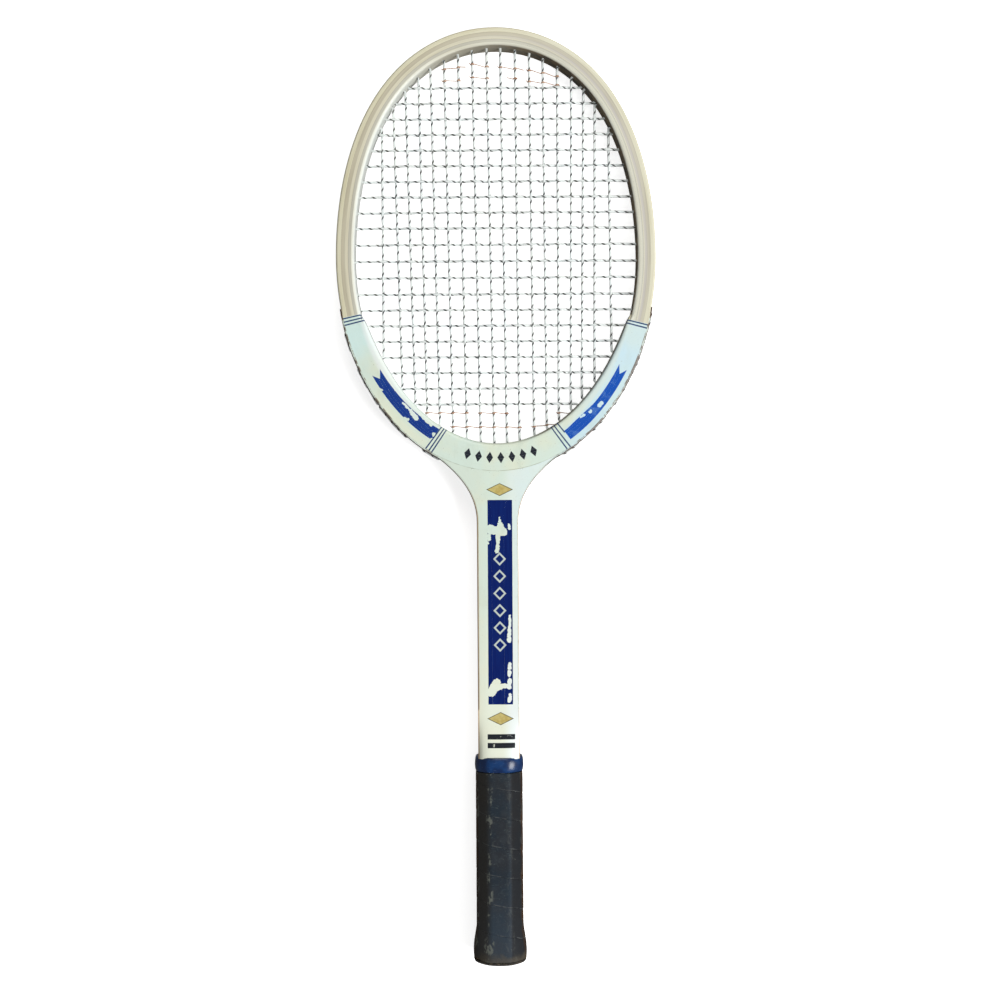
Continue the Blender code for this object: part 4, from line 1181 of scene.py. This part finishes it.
def tube(name, routes, radius, resolution):
    """Tubes along routes, as one curve made a mesh, with each corner's length along and turn round kept."""
    curve = bpy.data.curves.new(name, "CURVE")
    curve.dimensions = "3D"
    curve.bevel_depth = radius
    curve.bevel_resolution = resolution
    for route in routes:
        spline = curve.splines.new("POLY")
        spline.points.add(len(route) - 1)
        for point, place in zip(spline.points, route):
            point.co = (*place, 1)
    piece = bpy.data.objects.new(name, curve)
    bpy.context.scene.collection.objects.link(piece)
    take(piece)
    bpy.ops.object.convert(target="MESH")
    piece = bpy.context.object
    sides = len(piece.data.vertices) // sum(len(route) for route in routes)
    along = []
    for route in routes:
        gone = 0
        for i, place in enumerate(route):
            gone += (place - route[i - 1]).length if i else 0
            along.append(gone)
    laid = piece.data.attributes.new("strand", "FLOAT_VECTOR", "CORNER")
    first = [piece.data.vertices[i].co - routes[0][0] for i in (0, 1)]
    turning = copysign(1, first[0].cross(first[1]).dot(routes[0][1] - routes[0][0]))
    for face in piece.data.polygons:
        numbers = [piece.data.loops[loop].vertex_index for loop in face.loop_indices]
        wraps = max(n % sides for n in numbers) - min(n % sides for n in numbers) > 1
        for loop, number in zip(face.loop_indices, numbers):
            turn = number % sides
            turn = sides if wraps and turn == 0 else turn
            laid.data[loop].vector = (along[number // sides], turning * turn / sides, 0)
    close_up(False)
    return piece


def string_finish(name):
    # The nylon also glows faintly in its own colour: painted light that brightens the strings.
    finish = Finish(name, Coat_Weight=0.3, Coat_Roughness=0.2, Emission_Strength=0.16)
    along, turn, _ = finish.mark("strand")
    helix = (along / TRACER_PITCH - turn).work("FRACT")
    tracer = between(helix, 0.06, 0.30, 0.03)
    ply_line = between((helix * 3).work("FRACT"), 0.0, 0.16, 0.05)
    faded = noise(finish.place(), 60)
    tone = coated(mix(faded, paint(216, 224, 226), paint(230, 233, 228)), (ply_line * 0.3, 160, 168, 170))
    dark = mix(step(faded, 0.35, 0.65), paint(62, 65, 68), paint(88, 88, 84))
    colour = mix(tracer, tone, dark)
    finish.set(Emission_Color=colour)
    return finish.done(colour, 0.35 + tracer * 0.2, 1 - ply_line * 0.7 - tracer * 0.3, 0.4, 0.00015)


mains_route = string_route(main_runs, 1, over_crosses)
cross_route = string_route(cross_runs, -1, over_mains)
for name, slot, route in (("mains_string", "mains_nylon", mains_route), ("cross_string", "cross_nylon", cross_route)):
    string = tube(name + "_nylon", [route], STRING_RADIUS, 2)
    finished(string, string_finish(slot), name, 60)


# Trebling threads are thin waxed cotton, wound round the mains above the top cross and below the bottom
# one. Most of each has frayed away, and what is left hangs in short lengths between neighbouring mains.
THREAD_RADIUS = 0.00032
WRAP_RADIUS = 0.00108
WRAP_ADVANCE = 0.0009
WRAP_STEPS = 18
THREAD_LAY = 0.0011
# Each thread's lengths: x and y of one end, then of the other.
THREADS = [("trebling_thread_top_outer", [(-0.0393, 0.3141, -0.0213, 0.3163), (-0.0188, 0.3184, -0.0040, 0.3158),
                                          (0.0021, 0.3160, 0.0215, 0.3137), (0.0233, 0.3137, 0.0475, 0.3085)]),
           ("trebling_thread_top_inner", [(-0.0393, 0.3060, -0.0252, 0.3060), (-0.0188, 0.3088, -0.0040, 0.3073),
                                          (0.0090, 0.3072, 0.0168, 0.3072), (0.0233, 0.3056, 0.0480, 0.3025)]),
           ("trebling_thread_throat_inner", [(-0.0532, 0.0609, -0.0203, 0.0607), (-0.0140, 0.0606, 0.0090, 0.0604),
                                             (0.0440, 0.0603, 0.0565, 0.0602)]),
           ("trebling_thread_throat_outer", [(-0.0345, 0.0505, 0.0185, 0.0498), (0.0255, 0.0500, 0.0425, 0.0522)])]


def main_height(x, y):
    """The height of the main at x where it passes y."""
    nearest = min(mains_route, key=lambda p: (p.x - x) ** 2 + (p.y - y) ** 2)
    return nearest.z


def thread_route(x_start, y_start, x_end, y_end):
    """A length of thread, with a turn and a half round each main that it passes."""
    slope = (y_end - y_start) / (x_end - x_start)
    passed = []
    for index in range(len(main_runs)):
        x = main_x(index, y_start)
        y = y_start + slope * (x - x_start)
        if x_start < x < x_end:
            passed.append((x, y, main_height(x, y)))
    route = [Vector((x_start, y_start + 0.0006, passed[0][2] + 0.0004))]
    for x, y, height in passed:
        for i in range(WRAP_STEPS + 1):
            turned = pi - tau * 1.5 * i / WRAP_STEPS
            route.append(Vector((x + WRAP_RADIUS * cos(turned), y + WRAP_ADVANCE * (i / WRAP_STEPS - 0.5),
                                 height + WRAP_RADIUS * sin(turned))))
    route.append(Vector((x_end, y_end - 0.0005, passed[-1][2] + 0.0003)))
    return route


finish = Finish("trebling_cotton", Sheen_Weight=0.4)
along, turn, _ = finish.mark("strand")
lay = (along / THREAD_LAY - turn).work("FRACT")
colour = mix(mottle(finish.place(), 90, 0.4, 0.6), paint(180, 134, 106), paint(202, 166, 140))
colour = coated(colour, (between(lay, 0, 0.3, 0.08) * 0.4, 140, 96, 76))
cotton = finish.done(colour, 0.8 + lay * 0.1, lay, 0.5, 0.0001)
for name, lengths in THREADS:
    thread = tube(name + "_cotton", [thread_route(*length) for length in lengths], THREAD_RADIUS, 1)
    finished(thread, cotton, name, 60)


# The studio: a pale floor that slopes under the racket from the butt to the back of the hoop, a soft key
# light from the right, a weaker one from above the head and an even pale surround.
FLOOR_SLOPE = 0.008 / 0.686
FLOOR_GAP = 0.0008
bpy.ops.mesh.primitive_plane_add(size=6, location=(0, 0, 0))
floor = bpy.context.object
floor.name = "floor"
for vertex in floor.data.vertices:
    vertex.co.z = (vertex.co.y - BUTT_Y) * FLOOR_SLOPE - FLOOR_GAP
finish = Finish("pale_floor", Roughness=0.9, Emission_Color=(1, 1, 1, 1), Emission_Strength=0.74)
finish.set(Base_Color=paint(250, 250, 250))
floor.data.materials.append(finish.material)
floor.visible_diffuse = False
floor.visible_glossy = False


def soft_light(name, place, size, power, colour):
    """A square soft box that points at the middle of the racket."""
    bpy.ops.object.light_add(type="AREA", location=place)
    light = bpy.context.object
    light.name = name
    light.data.size = size
    light.data.energy = power
    light.data.color = colour
    light.rotation_euler = (Vector((0, 0.05, 0)) - Vector(place)).to_track_quat("-Z", "Y").to_euler()


soft_light("key_light", (1.3, -0.45, 1.2), 0.9, 31, (1.0, 1.0, 0.99))
soft_light("fill_light", (0.2, 1.4, 1.4), 1.2, 13, (1.0, 1.0, 0.97))
surround = bpy.data.worlds.new("surround")
surround.use_nodes = True
surround.node_tree.nodes["Background"].inputs["Color"].default_value = (1, 1, 1, 1)
surround.node_tree.nodes["Background"].inputs["Strength"].default_value = 0.17
bpy.context.scene.world = surround
bpy.context.scene.view_settings.view_transform = "Standard"
